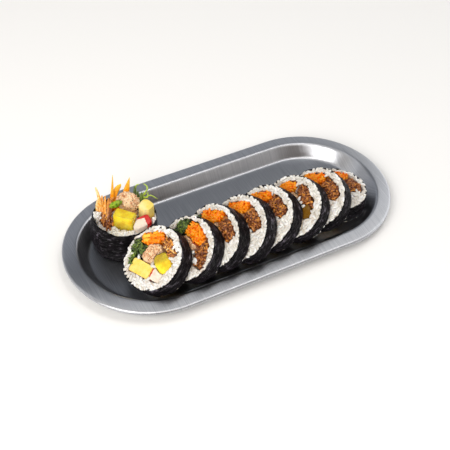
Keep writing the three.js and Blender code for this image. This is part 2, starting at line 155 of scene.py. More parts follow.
def tray_section():
    """The sheet's outline from the middle of the floor's top, out round the lip and back underneath."""
    half, mid = TRAY_WIDTH / 2, SHEET / 2
    rim_in = half - RIM
    foot = np.array([rim_in - WALL_RUN, mid])
    edge = np.array([rim_in, mid + WELL_DEPTH])
    wall = np.array([WALL_RUN, WELL_DEPTH]) / math.hypot(WALL_RUN, WELL_DEPTH)
    rim = np.array([RIM, -RIM_DROP]) / math.hypot(RIM, RIM_DROP)
    lip = np.array([half - mid, edge[1] - RIM_DROP])
    middle = np.vstack([
        [[run, mid] for run in np.linspace(0, foot[0] - FOOT_RADIUS, FLOOR_STEPS)],
        bend(foot - [FOOT_RADIUS / 2, 0], foot, foot + wall * FOOT_RADIUS / 2),
        bend(edge - wall * RIM_EDGE_RADIUS, edge, edge + rim * RIM_EDGE_RADIUS),
        [edge + rim * run for run in RIM_STEPS],
        bend(lip - rim * LIP_RADIUS, lip, lip - [0, LIP]),
    ])
    along = np.gradient(middle, axis=0)
    along[0] = [1, 0]
    along /= np.linalg.norm(along, axis=1)[:, None]
    across = np.stack([-along[:, 1], along[:, 0]], 1) * SHEET / 2
    return np.vstack([middle + across, (middle - across)[::-1]])


def racetrack_rings(section):
    """The section carried round the tray's outline, as one ring for each of its points."""
    turn = np.linspace(0, math.pi, END_STEPS + 1)
    slide = np.linspace(1, -1, SIDE_STEPS + 2)[1:-1]
    shift = (TRAY_LENGTH - TRAY_WIDTH) / 2
    stations = [(shift, math.sin(a), -math.cos(a)) for a in turn]
    stations += [(shift * k, 0.0, 1.0) for k in slide]
    stations += [(-shift, -math.sin(a), math.cos(a)) for a in turn]
    stations += [(-shift * k, 0.0, -1.0) for k in slide]
    return [[(x + run * dx, run * dy, z) for x, dx, dy in stations] for run, z in section]


# Brushed stainless steel: grey, mirror-like along the brushing and soft across it.
brushed_steel, tree, shader = new_finish("brushed stainless steel")
position = add(tree, "TexCoord")["Object"]
lines = add(tree, "Mapping", {
    "Vector": position, "Scale": (per_metre(BRUSH_LINE), per_metre(BRUSH_LENGTH), 1)})["Vector"]
streaks = add(tree, "TexNoise", {"Vector": lines, "Scale": 1, "Detail": 3, "Roughness": 0.7})["Fac"]
smudges = add(tree, "TexNoise", {"Vector": position, "Scale": per_metre(SMUDGE), "Detail": 3})["Fac"]
steel_tone = add(tree, "ValToRGB", {"Fac": streaks}, stops=[(0.3, STEEL_DARK), (0.7, STEEL)])["Color"]
streak_gloss = add(tree, "MapRange", {"Value": streaks, "To Min": 0.26, "To Max": 0.36})["Result"]
smudge_gloss = add(tree, "MapRange", {"Value": smudges, "To Min": -0.03, "To Max": 0.05})["Result"]
gloss = add(tree, "Math", {0: streak_gloss, 1: smudge_gloss}, operation="ADD")[0]
relief = add(tree, "Bump", {"Height": streaks, "Strength": 0.8, "Distance": 0.12 * MM})["Normal"]
across_lines = add(tree, "Tangent", direction_type="UV_MAP", uv_map="brushing")["Tangent"]
give(shader, {"Base Color": steel_tone, "Metallic": 1.0, "Roughness": gloss, "Normal": relief,
              "Anisotropic": 0.85, "Tangent": across_lines})

tray_points, tray_faces = loft(racetrack_rings(tray_section()))
tray = make_piece("steel_tray", [(tray_points, tray_faces, 0.0)], brushed_steel, ["tray"], weld=True)
brushing = tray.data.uv_layers.new(name="brushing")
for loop in tray.data.loops:
    x, y, _ = tray.data.vertices[loop.vertex_index].co
    brushing.data[loop.index].uv = (x, y)

# === Seaweed wraps =====================================================================================
# Each roll is held by one sheet of roasted seaweed, 0.3 to 0.5 mm thick, that went soft on the warm rice.
# The rice shows through it as low bumps, and the sheet's free edge laps over its start.
# Rolls as placed: middle of the cut face (x, y), lean of the axis above level, turn of the row, radius up
# the face and across it, thickness and turn of the roll about its axis.
SLICES = {
    1: dict(x=-84.7, y=-29.2, lean=52.1, turn=6.3, up=26.6, across=25.8, thick=15.0, roll=0),
    2: dict(x=-56.8, y=-31.1, lean=44.3, turn=7.1, up=25.3, across=25.8, thick=14.4, roll=-45),
    3: dict(x=-34.3, y=-29.8, lean=42.5, turn=7.2, up=25.3, across=26.6, thick=14.6, roll=-8),
    4: dict(x=-11.5, y=-31.0, lean=42.4, turn=7.2, up=26.1, across=27.2, thick=14.6, roll=-5),
    5: dict(x=12.1, y=-29.2, lean=45.1, turn=8.7, up=26.1, across=27.2, thick=14.8, roll=4),
    6: dict(x=37.0, y=-29.5, lean=45.4, turn=9.2, up=26.6, across=27.2, thick=14.6, roll=10),
    7: dict(x=61.4, y=-27.2, lean=50.4, turn=12.7, up=25.6, across=25.8, thick=14.4, roll=-6),
    8: dict(x=91.6, y=-15.3, lean=90.0, turn=0.0, up=24.7, across=25.2, thick=14.8, roll=10),
}
END = dict(number=9, x=-84.2, y=21.9, up=24.0, across=25.3, height=26.0, rice_top=24.5, rise=4.0,
           rise_side=155)
END_BULGE, BULGE_SIDE = 2.4, 168     # the standing roll has sagged outwards, most to this side in degrees
FRONT_RISE, FRONT_SIDE = 2.4, 255    # and its wrap stands higher in front
GAP = 0.3
NORI, NORI_RELIEF, NORI_CURL = 0.5, (0.2, 0.1), 0.25
LAP_STEP, LAP_LENGTH, LAP_EASE = 0.45, 9.0, 2.5
LAP_SIDES = (318, 296, 305, 285, 300, 318, 330, 300, 205)      # of the free edge, degrees round each roll
NORI_AROUND, NORI_ALONG, RIM_CHECKS = 208, 14, 28
PRESSED_FROM, PRESSED_SHARE = 0.15, 0.08    # what stands out further behind a roll is pressed nearly flat


def lumps(points, size, seed):
    """Smooth uneven relief from about -1 to 1, with bumps of that size in mm."""
    draw = np.random.default_rng(seed)
    waves = draw.normal(size=(14, points.shape[1]))
    waves *= (2 * math.pi / (size * draw.uniform(0.8, 1.8, 14)) / np.linalg.norm(waves, axis=1))[:, None]
    return np.sin(points @ waves.T + draw.uniform(0, 2 * math.pi, 14)).sum(1) * 0.27


def roll_radius(angle, seed):
    """How the roll's outline swells and flattens round the axis."""
    return (1 + 0.012 * np.sin(2 * angle + seed) + 0.008 * np.sin(3 * angle + 2.1 * seed)
            + 0.004 * np.sin(7 * angle + 3.7 * seed))


def slice_place(number):
    """Turn and shift that carry a slice from its own frame, face up at z 0, to its place on the tray."""
    s = SLICES[number]
    lean, turn = math.radians(s["lean"]), math.radians(s["turn"])
    back = np.array([math.cos(turn), math.sin(turn), 0])
    normal = -back * math.cos(lean) + [0, 0, math.sin(lean)]
    face_up = back * math.sin(lean) + [0, 0, math.cos(lean)]
    axes = np.stack([np.cross(face_up, normal), face_up, normal])
    a = np.linspace(0, 2 * math.pi, RIM_CHECKS, endpoint=False)
    k = roll_radius(a, number)
    rim = np.stack([s["across"] * k * np.cos(a), s["up"] * k * np.sin(a), 0 * a], 1)
    lowest = min((rim @ axes)[:, 2].min(), ((rim - [0, 0, s["thick"]]) @ axes)[:, 2].min())
    return axes, np.array([s["x"], s["y"], SHEET + GAP - lowest])


ROLLS = [dict(s, number=number, name=f"slice_{number}", end=False, low=-s["thick"], high=0.0,
              place=slice_place(number)) for number, s in SLICES.items()]
ROLLS.append(dict(END, name="end", end=True, roll=0, low=0.0, high=END["height"],
                  place=(np.eye(3), np.array([END["x"], END["y"], SHEET + GAP]))))


def placed(roll, part):
    """Carries a part from the roll's own frame to its place, pressed flat at the back where it rests."""
    axes, shift = roll["place"]
    points = np.array(part[0], float)
    back = roll["low"] - PRESSED_FROM
    points[:, 2] = np.where(points[:, 2] < back, back + PRESSED_SHARE * (points[:, 2] - back), points[:, 2])
    return (points @ axes + shift,) + tuple(part[1:])


def wrap_part(roll):
    """The seaweed round a roll: outer side, far edge, inner side and near edge, as one closed skin."""
    a = np.linspace(0, 2 * math.pi, NORI_AROUND, endpoint=False)
    k = roll_radius(a, roll["number"])
    mean = (roll["up"] + roll["across"]) / 2
    behind = (math.radians(LAP_SIDES[roll["number"] - 1]) - a) % (2 * math.pi) * mean
    lap = LAP_STEP * np.clip((LAP_LENGTH - behind) / LAP_EASE, 0, 1)
    low = roll["low"] + 0.25 * np.sin(5 * a) + 0.2 * np.sin(11 * a + 1)
    high = roll["high"] - 0.35 + 0.25 * np.sin(4 * a + 2) + 0.2 * np.sin(13 * a)
    sag = 0 * a
    if roll["end"]:
        near = np.clip(np.cos(a - math.radians(END["rise_side"])), 0, None)
        front = np.clip(np.cos(a - math.radians(FRONT_SIDE)) * 1.6, 0, 1)
        low = 0 * a
        high = (END["height"] + END["rise"] * near ** 2 + FRONT_RISE * front
                + 0.5 * np.sin(4 * a + 1) + 0.3 * np.sin(9 * a))
        sag = END_BULGE * np.clip(np.cos(a - math.radians(BULGE_SIDE)), 0, None)
    steps = np.linspace(0, 1, NORI_ALONG)
    broad, fine = NORI_RELIEF
    rings = []
    for depth, t in [(0, t) for t in steps] + [(NORI, t) for t in steps[::-1]]:
        z = low + (high - low) * t
        out = np.stack([roll["across"] * k * np.cos(a), roll["up"] * k * np.sin(a), z], 1)
        pressed = broad * lumps(out, 4.6, 5 + roll["number"]) + fine * lumps(out, 1.8, 40 + roll["number"])
        curl = NORI_CURL * (abs(2 * t - 1) ** 6)
        inset = depth - lap - pressed + curl - sag * math.sin(math.pi * t ** 0.8)
        across, up = roll["across"] * k - inset, roll["up"] * k - inset
        rings.append(np.stack([across * np.cos(a), up * np.sin(a), z], 1))
    points, faces = loft(rings, closed=True)
    return points, faces, points[:, 2]


# Roasted seaweed, moist: nearly black with a violet cast, a papery grain, small wet glints and specks of
# painted sheen.
NORI_DARK, NORI_LIGHT, NORI_PAINTED_SHEEN, NORI_SHEEN = "#080708", "#1a1619", "#8f8796", "#b4a8c4"
PATCH = 6.0
WRINKLE, WRINKLE_LENGTH = 1.1, 6.0     # they run round the roll
moist_nori, tree, shader = new_finish("moist roasted seaweed sheet")
position = add(tree, "TexCoord")["Object"]
patches = add(tree, "TexNoise", {
    "Vector": position, "Scale": per_metre(PATCH), "Detail": 5, "Roughness": 0.6})["Fac"]
along_axis = add(tree, "Attribute", attribute_name="shade")["Fac"]
round_roll = add(tree, "Mapping", {"Vector": position, "Scale": (per_metre(WRINKLE_LENGTH),) * 3})["Vector"]
over_roll = add(tree, "Math", {0: along_axis, 1: 1 / WRINKLE}, operation="MULTIPLY")[0]
crinkle = add(tree, "TexNoise", {
    "Vector": round_roll, "W": over_roll, "Scale": 1, "Detail": 6, "Roughness": 0.75},
    noise_dimensions="4D")["Fac"]
nori_tone = add(tree, "ValToRGB", {"Fac": patches}, stops=[(0.35, NORI_DARK), (0.7, NORI_LIGHT)])["Color"]
# Pale violet-grey specks where patches and crinkles run high: a sheen painted into the base colour.
painted_sheen_field = add(tree, "Math", {0: patches, 1: crinkle}, operation="ADD")[0]
painted_sheen_specks = add(tree, "MapRange", {"Value": painted_sheen_field, "From Min": 1.1, "From Max": 1.3, "To Max": 0.7})["Result"]
nori_mix = add(tree, "Mix", {0: painted_sheen_specks, 6: nori_tone, 7: linear(NORI_PAINTED_SHEEN)}, data_type="RGBA")[2]
gloss = add(tree, "MapRange", {
    "Value": crinkle, "From Min": 0.3, "From Max": 0.7, "To Min": 0.3, "To Max": 0.65})["Result"]
glint = add(tree, "MapRange", {
    "Value": crinkle, "From Min": 0.52, "From Max": 0.68, "To Min": 0.03, "To Max": 1.0})["Result"]
relief = add(tree, "Bump", {"Height": crinkle, "Strength": 1.0, "Distance": 0.9 * MM})["Normal"]
give(shader, {"Base Color": nori_mix, "Roughness": gloss, "Specular IOR Level": glint, "Normal": relief,
              "Sheen Weight": 0.03, "Sheen Roughness": 0.4, "Sheen Tint": linear(NORI_SHEEN)})

for roll in ROLLS:
    part = placed(roll, wrap_part(roll))
    make_piece(f"wrap_{roll['name']}", [part], moist_nori, [f"{roll['name']}_nori"])

# === Fillings' layout ==================================================================================
# Strips and bundles run the length of the roll, laid on the rice and rolled in together. Each is given by
# its section as the first slice shows it, and the other rolls differ from that where the photo shows it.
FIRST_SLICE, END_ROLL = 1, END["number"]
OUTLINE_STEPS = 40


def strip(x, y, w, h, turn, square=3, wave=0.05):
    """A strip's section: middle, size, turn, squareness (2 is an ellipse) and waviness of its outline."""
    return dict(x=x, y=y, w=w, h=h, turn=turn, square=square, wave=wave)


FILLINGS = {
    "egg": [strip(-2.1, -12.1, 20.5, 11.3, 17, square=9, wave=0)],
    "radish": [strip(9.6, 3.3, 17, 12.6, -12, square=3.2, wave=0.02)],
    "crab": [strip(13, -7, 11, 9.6, 14, square=4, wave=0.02)],
    "carrot": [strip(-12.8, 10.2, 21, 9.4, 44, wave=0.06)],
    "burdock": [strip(4.8, 15.6, 20, 10, -6, wave=0.07)],
    "spinach": [strip(-16.6, -1.4, 13, 16, 0, square=2.5, wave=0.06),
                strip(-14.2, -13, 4, 9.5, 26, square=2.5)],
    "tuna": [strip(-4.2, 1.9, 14, 18, -8, square=2.8, wave=0.03)],
}
ROW_FILLINGS = dict(
    FILLINGS,
    radish=[strip(5, -3.5, 15, 11, -8, square=3.2, wave=0.02)],
    crab=[strip(12, -9, 11, 9.6, 14, square=4, wave=0.02)],
    burdock=[strip(3.8, 13, 22.5, 12, -12)])
SECOND_FILLINGS = dict(
    ROW_FILLINGS,
    carrot=[strip(-10, 8, 22, 13, 40)],
    burdock=[strip(6.2, 12.9, 24, 12, -15)])
SIXTH_FILLINGS = dict(
    ROW_FILLINGS,
    carrot=[strip(-11.6, 12.4, 16, 9, 44)],
    burdock=[strip(7, 11.8, 24, 10.5, -34)],
    radish=[strip(13.5, 2, 11, 9.5, -50, square=3.2, wave=0.02)])
END_FILLINGS = {
    "radish": [strip(-3.4, -7.2, 16.5, 8.6, -48, square=9, wave=0)],
    "crab": [strip(7.8, -14.4, 16, 8, 10, square=4, wave=0.02)],
    "egg": [strip(16.2, -5, 10.5, 10.5, 25, square=3.4, wave=0.02)],
    "tuna": [strip(5.2, 5, 13.5, 13, 0, square=2.6, wave=0.03)],
    "carrot": [strip(-1.5, 16.2, 18, 8, 2, wave=0.04)],
    "burdock": [strip(-14.8, 4.5, 8.5, 17, 2, wave=0.06)],
    "spinach": [strip(15.8, 8.6, 8.6, 10, -35, square=2.5, wave=0.06)],
}
# Height of a filling's top in the standing end, and its slope in x and in y.
END_TOPS = {"radish": (37.3, 0, 0), "crab": (30, -0.1, 0.45), "egg": (36.5, 0, 0.15), "tuna": (28, 0, 0),
            "carrot": (28, 0, 0), "burdock": (29, 0, 0), "spinach": (29, 0, 0)}
LAYOUTS = {FIRST_SLICE: FILLINGS, 2: SECOND_FILLINGS, 6: SIXTH_FILLINGS, END_ROLL: END_FILLINGS}
# Fillings with a CAD node of their own. The rest of a roll's fillings share one node.
OWN = {FIRST_SLICE: list(FILLINGS), 2: ["carrot", "burdock", "spinach"], 6: ["radish", "carrot", "burdock"],
       END_ROLL: list(END_FILLINGS)}
ROW_OWN = ["carrot", "burdock"]


def turned(points, degrees):
    """Points of the section, turned about the axis."""
    a = math.radians(degrees)
    return points @ np.array([[math.cos(a), math.sin(a)], [-math.sin(a), math.cos(a)]])


def in_filling(points, blobs, grow):
    """Which points of the section lie in a filling grown by that much."""
    hit = np.zeros(len(points), bool)
    for b in blobs:
        p = np.abs(turned(points - [b["x"], b["y"]], -b["turn"])) / [b["w"] / 2 + grow, b["h"] / 2 + grow]
        hit |= (p ** b["square"]).sum(1) < 1
    return hit


def roll_layout(roll):
    """The roll's fillings in the order in which they keep their shape."""
    layout = LAYOUTS.get(roll["number"], ROW_FILLINGS)
    first = OWN.get(roll["number"], ROW_OWN)
    return {key: layout[key] for key in first + [key for key in layout if key not in first]}


def filling_outline(roll, key, blob, steps):
    """A filling's outline, pressed in where it meets those that keep their shape, with a hair's gap."""
    a = 2 * math.pi * (np.arange(steps) + 0.5) / steps
    c, s = np.cos(a), np.sin(a)
    wave = 1 + blob["wave"] * (np.sin(3 * a + blob["x"]) + 0.7 * np.sin(5 * a + blob["y"]))
    r = wave / (np.abs(c) ** blob["square"] + np.abs(s) ** blob["square"]) ** (1 / blob["square"])
    arm = turned(np.stack([blob["w"] / 2 * r * c, blob["h"] / 2 * r * s], 1), blob["turn"])
    middle = np.array([blob["x"], blob["y"]])
    layout = roll_layout(roll)
    earlier = list(layout)[:list(layout).index(key)]
    reach = np.ones(steps)
    for share in np.linspace(1, 0.1, 90):
        hit = np.zeros(steps, bool)
        for other in earlier:
            hit |= in_filling(middle + arm * share, layout[other], GAP)
        reach[hit] = share
    reach = np.minimum(reach, (np.roll(reach, 1) + reach + np.roll(reach, -1)) / 3)
    return turned(middle + arm * reach[:, None], roll["roll"])


def filling_nodes(roll, key):
    """The CAD node that holds this filling in this roll."""
    return [f"{roll['name']}_{key if key in OWN.get(roll['number'], ROW_OWN) else 'fillings'}"]


# === Rice ==============================================================================================
# Short-grain rice, boiled, seasoned with sesame oil and pressed into a layer 3 to 8 mm thick. A cooked grain
# is about 6 by 3 mm. The knife leaves most grains lying whole in the cut and slices some across.
GRAIN = dict(length=5.8, width=2.6, thickness=2.2)
GRAIN_SIZES, GRAIN_TIP, GRAIN_TILT = (0.84, 1.1), 2.4, 0.5
GRAIN_SPACING, BACK_SPACING = 2.0, 2.3      # between grains on the cut that shows and on the other one
CUT_HEIGHT, CUT_SHARE = 0.2, 0.3            # the knife flattens what stands further out of a cut face
CORE_VOXEL, CORE_INSET, CORE_RELIEF = 1.2, 0.9, 0.28
# Tint of the core, seen in the gaps between the grains: part sesame-oil stain, part painted shade.
CORE_OIL_AND_SHADE = 0.62
# Grains outside the ring of rice: on the cut faces (slice, x, y) and heaped on the uncut end.
STRAY_GRAINS = [(1, 7.2, 20.8), (1, 9.8, 21.2), (1, 8.6, 18.4), (1, 11.6, 18.2), (1, 13.6, 19.4),
                (1, 5.2, 22.4), (2, 13.6, -1.4), (2, 14.8, -2.8), (2, 13.0, -3.4), (6, 2, 8.5), (6, 5, 7.2),
                (6, 8.6, 6.4), (8, 10.5, 12.5), (8, 12.6, 10.6), (8, 14.2, 9.2), (8, 11.8, 8.4),
                (8, 13.4, 12.2), (8, 15.6, 11)]
CLUMPS = [dict(x=-19.3, y=9.6, z=25.2, a=3.6, b=4.6, c=5.0, count=34),
          dict(x=19.8, y=-13.2, z=23.6, a=2.8, b=2.8, c=3.4, count=16),
          dict(x=-5, y=-17.6, z=23.4, a=7, b=3.4, c=2.6, count=26)]


def ball_template():
    """A ball's points and faces, fine enough for a thing as small as a grain."""
    edit = bmesh.new()
    bmesh.ops.create_icosphere(edit, subdivisions=2, radius=1)
    points = np.array([v.co for v in edit.verts])
    faces = [[v.index for v in f.verts] for f in edit.faces]
    edit.free()
    return points, faces


def grain_points(ball):
    """One cooked grain: slightly bent and flattened, with a blunt and a pointed end."""
    x, y, z = ball.T
    narrow = 1 - 0.12 * y
    return np.stack([x * narrow * GRAIN["width"] / 2 + 0.25 * y * y, y * GRAIN["length"] / 2,
                     z * narrow * GRAIN["thickness"] / 2], 1)


BALL_POINTS, BALL_FACES = ball_template()
GRAIN_POINTS = grain_points(BALL_POINTS)


def turn_matrix(draw, tilt):
    """A random direction in the face, tilted out of it by up to so much."""
    turn = Matrix.Rotation(draw.uniform(0, 2 * math.pi), 3, "Z")
    tip = Matrix.Rotation(draw.uniform(-tilt, tilt), 3, "X")
    spin = Matrix.Rotation(draw.uniform(0, 2 * math.pi), 3, "Y")
    return np.array(turn @ tip @ spin)


def upward(draw):
    """A random direction in the upper half."""
    way = draw.normal(size=3)
    way[2] = abs(way[2])
    way /= np.linalg.norm(way)
    return way


def spread(draw, spacing, tries, inside, extent):
    """Evenly spread places: each keeps its distance from the rest."""
    places = np.empty((0, 2))
    for p in draw.uniform(-extent, extent, (tries, 2)):
        if len(places) and (np.hypot(*(places - p).T) < spacing).any():
            continue
        if inside(p):
            places = np.vstack([places, p])
    return places


def section_share(points, roll, inset):
    """Distance from the axis as a share of the roll's outline, inset by so much."""
    a = np.arctan2(points[:, 1] / roll["up"], points[:, 0] / roll["across"])
    k = roll_radius(a, roll["number"])
    size = np.stack([roll["across"] * k - inset, roll["up"] * k - inset], 1)
    return np.sqrt(((points / size) ** 2).sum(1))


def held_in(points, roll, level):
    """Squeezes points into the wrap: under its edge inside the sheet, above it up to the outside."""
    deep = np.clip((level - 0.2 - points[:, 2]) / 0.5, 0, 1)
    share = section_share(points[:, :2], roll, 0.25 + (NORI + 0.25) * deep)
    points[:, :2] /= np.maximum(share, 1)[:, None]
    return points


def lay_grain(draw, roll, spot, level, blobs=()):
    """One grain in a cut face, turned clear of the fillings and cut flatter where it would stand out."""
    for _ in range(8):
        axes = turn_matrix(draw, GRAIN_TILT)
        tips = spot[:2] + np.array([[0, -GRAIN_TIP, 0], [0, GRAIN_TIP, 0]]) @ axes.T[:, :2]
        if not in_filling(turned(tips, -roll["roll"]), blobs, 0.1).any():
            break
    points = GRAIN_POINTS * draw.uniform(*GRAIN_SIZES, 3) @ axes.T + spot
    over = points[:, 2] - CUT_HEIGHT
    points[:, 2] = np.where(over > 0, CUT_HEIGHT + CUT_SHARE * over, points[:, 2])
    return held_in(points, roll, 0.0) + [0, 0, level], BALL_FACES


def face_grains(roll, seed, level, spacing=GRAIN_SPACING):
    """Grains that cover the rice of a cut face, more stained with oil near the fillings."""
    draw = np.random.default_rng(seed)
    every = [blob for blobs in roll_layout(roll).values() for blob in blobs]

    def free(p):
        return (section_share(p[None], roll, 0.9)[0] < 1
                and not in_filling(turned(p[None], -roll["roll"]), every, 0.8)[0])

    parts = []
    for p in spread(draw, spacing, 5200, free, max(roll["up"], roll["across"])):
        points, faces = lay_grain(draw, roll, np.append(p, draw.uniform(-1.1, -0.15)), level, blobs=every)
        near = in_filling(turned(p[None], -roll["roll"]), every, 2.6)[0]
        parts.append((points, faces, draw.uniform(0, 0.45) + 0.35 * near))
    return parts


def rice_core(roll):
    """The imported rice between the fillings, with the grains' bumps on it, in the roll's own frame."""
    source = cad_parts[f"{roll['name']}_rice"]
    copy = bpy.data.objects.new("core", source.data.copy())
    bpy.context.scene.collection.objects.link(copy)
    remesh = copy.modifiers.new("voxels", "REMESH")
    remesh.mode, remesh.voxel_size = "VOXEL", CORE_VOXEL * MM
    evaluated = copy.evaluated_get(bpy.context.evaluated_depsgraph_get())
    mesh = bpy.data.meshes.new_from_object(evaluated)
    points = np.array([v.co for v in mesh.vertices]) / MM
    normals = np.array([v.normal for v in mesh.vertices])
    faces = [list(p.vertices) for p in mesh.polygons]
    bpy.data.objects.remove(copy)
    bpy.data.meshes.remove(mesh)
    bump = CORE_RELIEF * lumps(points, 3.2, 3 + roll["number"]) - CORE_INSET
    axes, shift = roll["place"]
    # The core gets a darker tint: oil stain and painted shade between the grains.
    return (points + normals * bump[:, None] - shift) @ axes.T, faces, CORE_OIL_AND_SHADE


def clump_grains(roll, seed):
    """Grains heaped on the uncut end's clumps."""
    draw = np.random.default_rng(seed)
    parts = []
    for clump in CLUMPS:
        size, middle = [clump["a"], clump["b"], clump["c"]], [clump["x"], clump["y"], clump["z"]]
        for _ in range(clump["count"]):
            spot = upward(draw) * size * draw.uniform(0.6, 1) + middle
            points = GRAIN_POINTS * draw.uniform(*GRAIN_SIZES, 3) @ turn_matrix(draw, 1.2).T + spot
            parts.append((held_in(points, roll, roll["high"]), BALL_FACES, draw.uniform(0, 0.5)))
    return parts


def dress(tree, shader, tone, gloss, relief, glow=(), **more):
    """Colours a surface and roughens it by patterns.

    Gloss is a pattern with its least and most roughness, relief a pattern with its strength and its depth in
    mm, and glow the share of light that enters, how far each colour of it goes and the scale of that in mm.
    """
    pattern, least, most = gloss
    roughness = add(tree, "MapRange", {"Value": pattern, "To Min": least, "To Max": most})["Result"]
    pattern, strength, depth = relief
    bumps = add(tree, "Bump", {"Height": pattern, "Strength": strength, "Distance": depth * MM})["Normal"]
    give(shader, {"Base Color": tone, "Roughness": roughness, "Normal": bumps, **more})
    if glow:
        share, colours, reach = glow
        give(shader, {"Subsurface Weight": share, "Subsurface Radius": colours,
                      "Subsurface Scale": reach * MM})


# Boiled rice: white and slightly see-through, each grain with its own tint and a sticky gloss.
RICE_WHITE, RICE_CREAM, RICE_OIL_AND_SHADE = "#f8f7f4", "#dad5cb", "#a2825c"
boiled_rice, tree, shader = new_finish("boiled short-grain rice with sesame oil")
position = add(tree, "TexCoord")["Object"]
each = add(tree, "NewGeometry")["Random Per Island"]
oil_and_shade = add(tree, "Attribute", attribute_name="shade")["Fac"]
cloud = add(tree, "TexNoise", {"Vector": position, "Scale": per_metre(7), "Detail": 3})["Fac"]
pits = add(tree, "TexNoise", {"Vector": position, "Scale": per_metre(0.8), "Detail": 3})["Fac"]
grain_tone = add(tree, "ValToRGB", {"Fac": each}, stops=[(0.0, RICE_WHITE), (1.0, RICE_CREAM)])["Color"]
# Oil stain near the fillings, and on the core between the grains a darker tint that is oil stain and painted
# shade.
oil_and_shade_cloud = add(tree, "Math", {0: oil_and_shade, 1: cloud}, operation="MULTIPLY")[0]
oil = add(tree, "MapRange", {"Value": oil_and_shade_cloud, "From Min": 0.2, "From Max": 0.62, "To Max": 0.75})["Result"]
rice_tone = add(tree, "Mix", {0: oil, 6: grain_tone, 7: linear(RICE_OIL_AND_SHADE)}, data_type="RGBA")[2]
dress(tree, shader, rice_tone, (pits, 0.25, 0.5), (pits, 0.35, 0.2), glow=(0.2, (1.0, 0.8, 0.6), 1.0))

for roll in ROLLS:
    draw = np.random.default_rng(300 + roll["number"])
    if roll["end"]:
        grains = face_grains(roll, 900, END["rice_top"]) + clump_grains(roll, 901)
    else:
        grains = face_grains(roll, 10 + roll["number"], 0.0)
        for points, faces, shade in face_grains(roll, 50 + roll["number"], 0.0, BACK_SPACING):
            flipped = points * [1, 1, -1] + [0, 0, roll["low"]]
            grains.append((flipped, [face[::-1] for face in faces], shade))
        for number, x, y in STRAY_GRAINS:
            if number == roll["number"]:
                grains.append(lay_grain(draw, roll, np.array([x, y, 0.1]), 0.55) + (0.1,))
    parts = [placed(roll, part) for part in grains + [rice_core(roll)]]
    make_piece(f"rice_{roll['name']}", parts, boiled_rice, [f"{roll['name']}_rice"])

# === Egg strips ========================================================================================
# Thick rolled omelette cut in bars of 20 by 11 mm: pale yellow and fine-pored inside, browned on the pan
# sides. In the uncut end the bar stands out of the rice with a rounded top, paler to the left and browner low
# down.
CAP_RINGS = (0.12, 0.3, 0.48, 0.64, 0.78, 0.86, 0.92, 0.97)
RING_STEP = 1.6
STANDS_FROM = 20
FRIED_FROM, PALER_FROM = 5.05, 5.2      # from a bar's middle to its well fried and its paler side
END_BROWNER_BELOW = 28.5


def loaf(outline, low, high, bevel, caps=CAP_RINGS, dome=0.0):
    """A bar of that section with eased edges and, where it says so, slightly domed ends."""
    middle = outline.mean(0)
    size = np.hypot(*(outline - middle).T).mean()
    levels = [(s, dome * (1 - s * s)) for s in caps]
    levels += [(1 - bevel / size * (1 - math.sin(t)), -bevel * (1 - math.cos(t)))
               for t in (0, math.pi / 4, math.pi / 2)]
    sides = np.linspace(high - bevel, low + bevel, max(3, int((high - low) / RING_STEP)))[1:-1]
    rows = [(s, high + lift) for s, lift in levels] + [(1, z) for z in sides]
    rows += [(s, low - lift) for s, lift in levels[::-1]]
    rings = [np.column_stack([middle + (outline - middle) * s, np.full(len(outline), z)]) for s, z in rows]
    points, faces = loft(rings)
    return points, [face[::-1] for face in faces]


def raise_end(points, key, middle):
    """Slopes the standing top of a filling of the uncut end."""
    height, slope_x, slope_y = END_TOPS[key]
    share = np.clip((points[:, 2] - STANDS_FROM) / (height - STANDS_FROM), 0, 1)
    points[:, 2] += share * (slope_x * (points[:, 0] - middle[0]) + slope_y * (points[:, 1] - middle[1]))
    return points


def filling_bars(roll, key, steps, stand=0.0, **shape):
    """A filling's bars in a roll, in the roll's own frame, each with its outline."""
    bars = []
    for blob in roll_layout(roll)[key]:
        outline = filling_outline(roll, key, blob, steps)
        low, high = (0.0, END_TOPS[key][0]) if roll["end"] else (roll["low"] - stand, stand)
        points, faces = loaf(outline, low, high, **shape)
        if roll["end"]:
            points = raise_end(points, key, (blob["x"], blob["y"]))
        bars.append((points, faces, outline))
    return bars


def push_out(points, amount, outline):
    """Moves a bar's points away from its long axis by an amount for each point."""
    arm = points[:, :2] - outline.mean(0)
    points[:, :2] += arm / (np.hypot(*arm.T)[:, None] + 1) * amount[:, None]
    return points


def make_filling(roll, key, parts, finish):
    """Lays a filling's parts in their roll and joins them into one piece."""
    laid = [placed(roll, part) for part in parts]
    make_piece(f"{key}_{roll['name']}", laid, finish, filling_nodes(roll, key))


# Fried omelette: matt yellow clouds and open pores, brown where it lay on the pan, and in the uncut end cream
# to the left and browner low down.
EGG_PALE, EGG_YELLOW, EGG_PORE, EGG_BROWN, EGG_CREAM = "#fbe17c", "#f8d452", "#e2a82c", "#a86420", "#fff0b4"
omelette, tree, shader = new_finish("thick fried omelette")
position = add(tree, "TexCoord")["Object"]
browned = add(tree, "Attribute", attribute_name="shade")["Fac"]
cloud = add(tree, "TexNoise", {
    "Vector": position, "Scale": per_metre(4), "Detail": 5, "Roughness": 0.6})["Fac"]
pores = add(tree, "TexVoronoi", {"Vector": position, "Scale": per_metre(1.5), "Randomness": 1})["Distance"]
yolk_tone = add(tree, "ValToRGB", {"Fac": cloud}, stops=[(0.32, EGG_YELLOW), (0.62, EGG_PALE)])["Color"]
pore = add(tree, "MapRange", {
    "Value": pores, "From Min": 0.05, "From Max": 0.28, "To Min": 0.6, "To Max": 0})["Result"]
pored = add(tree, "Mix", {0: pore, 6: yolk_tone, 7: linear(EGG_PORE)}, data_type="RGBA")[2]
paler = add(tree, "MapRange", {"Value": browned, "From Min": 0.0, "From Max": -1.0, "To Max": 0.75})["Result"]
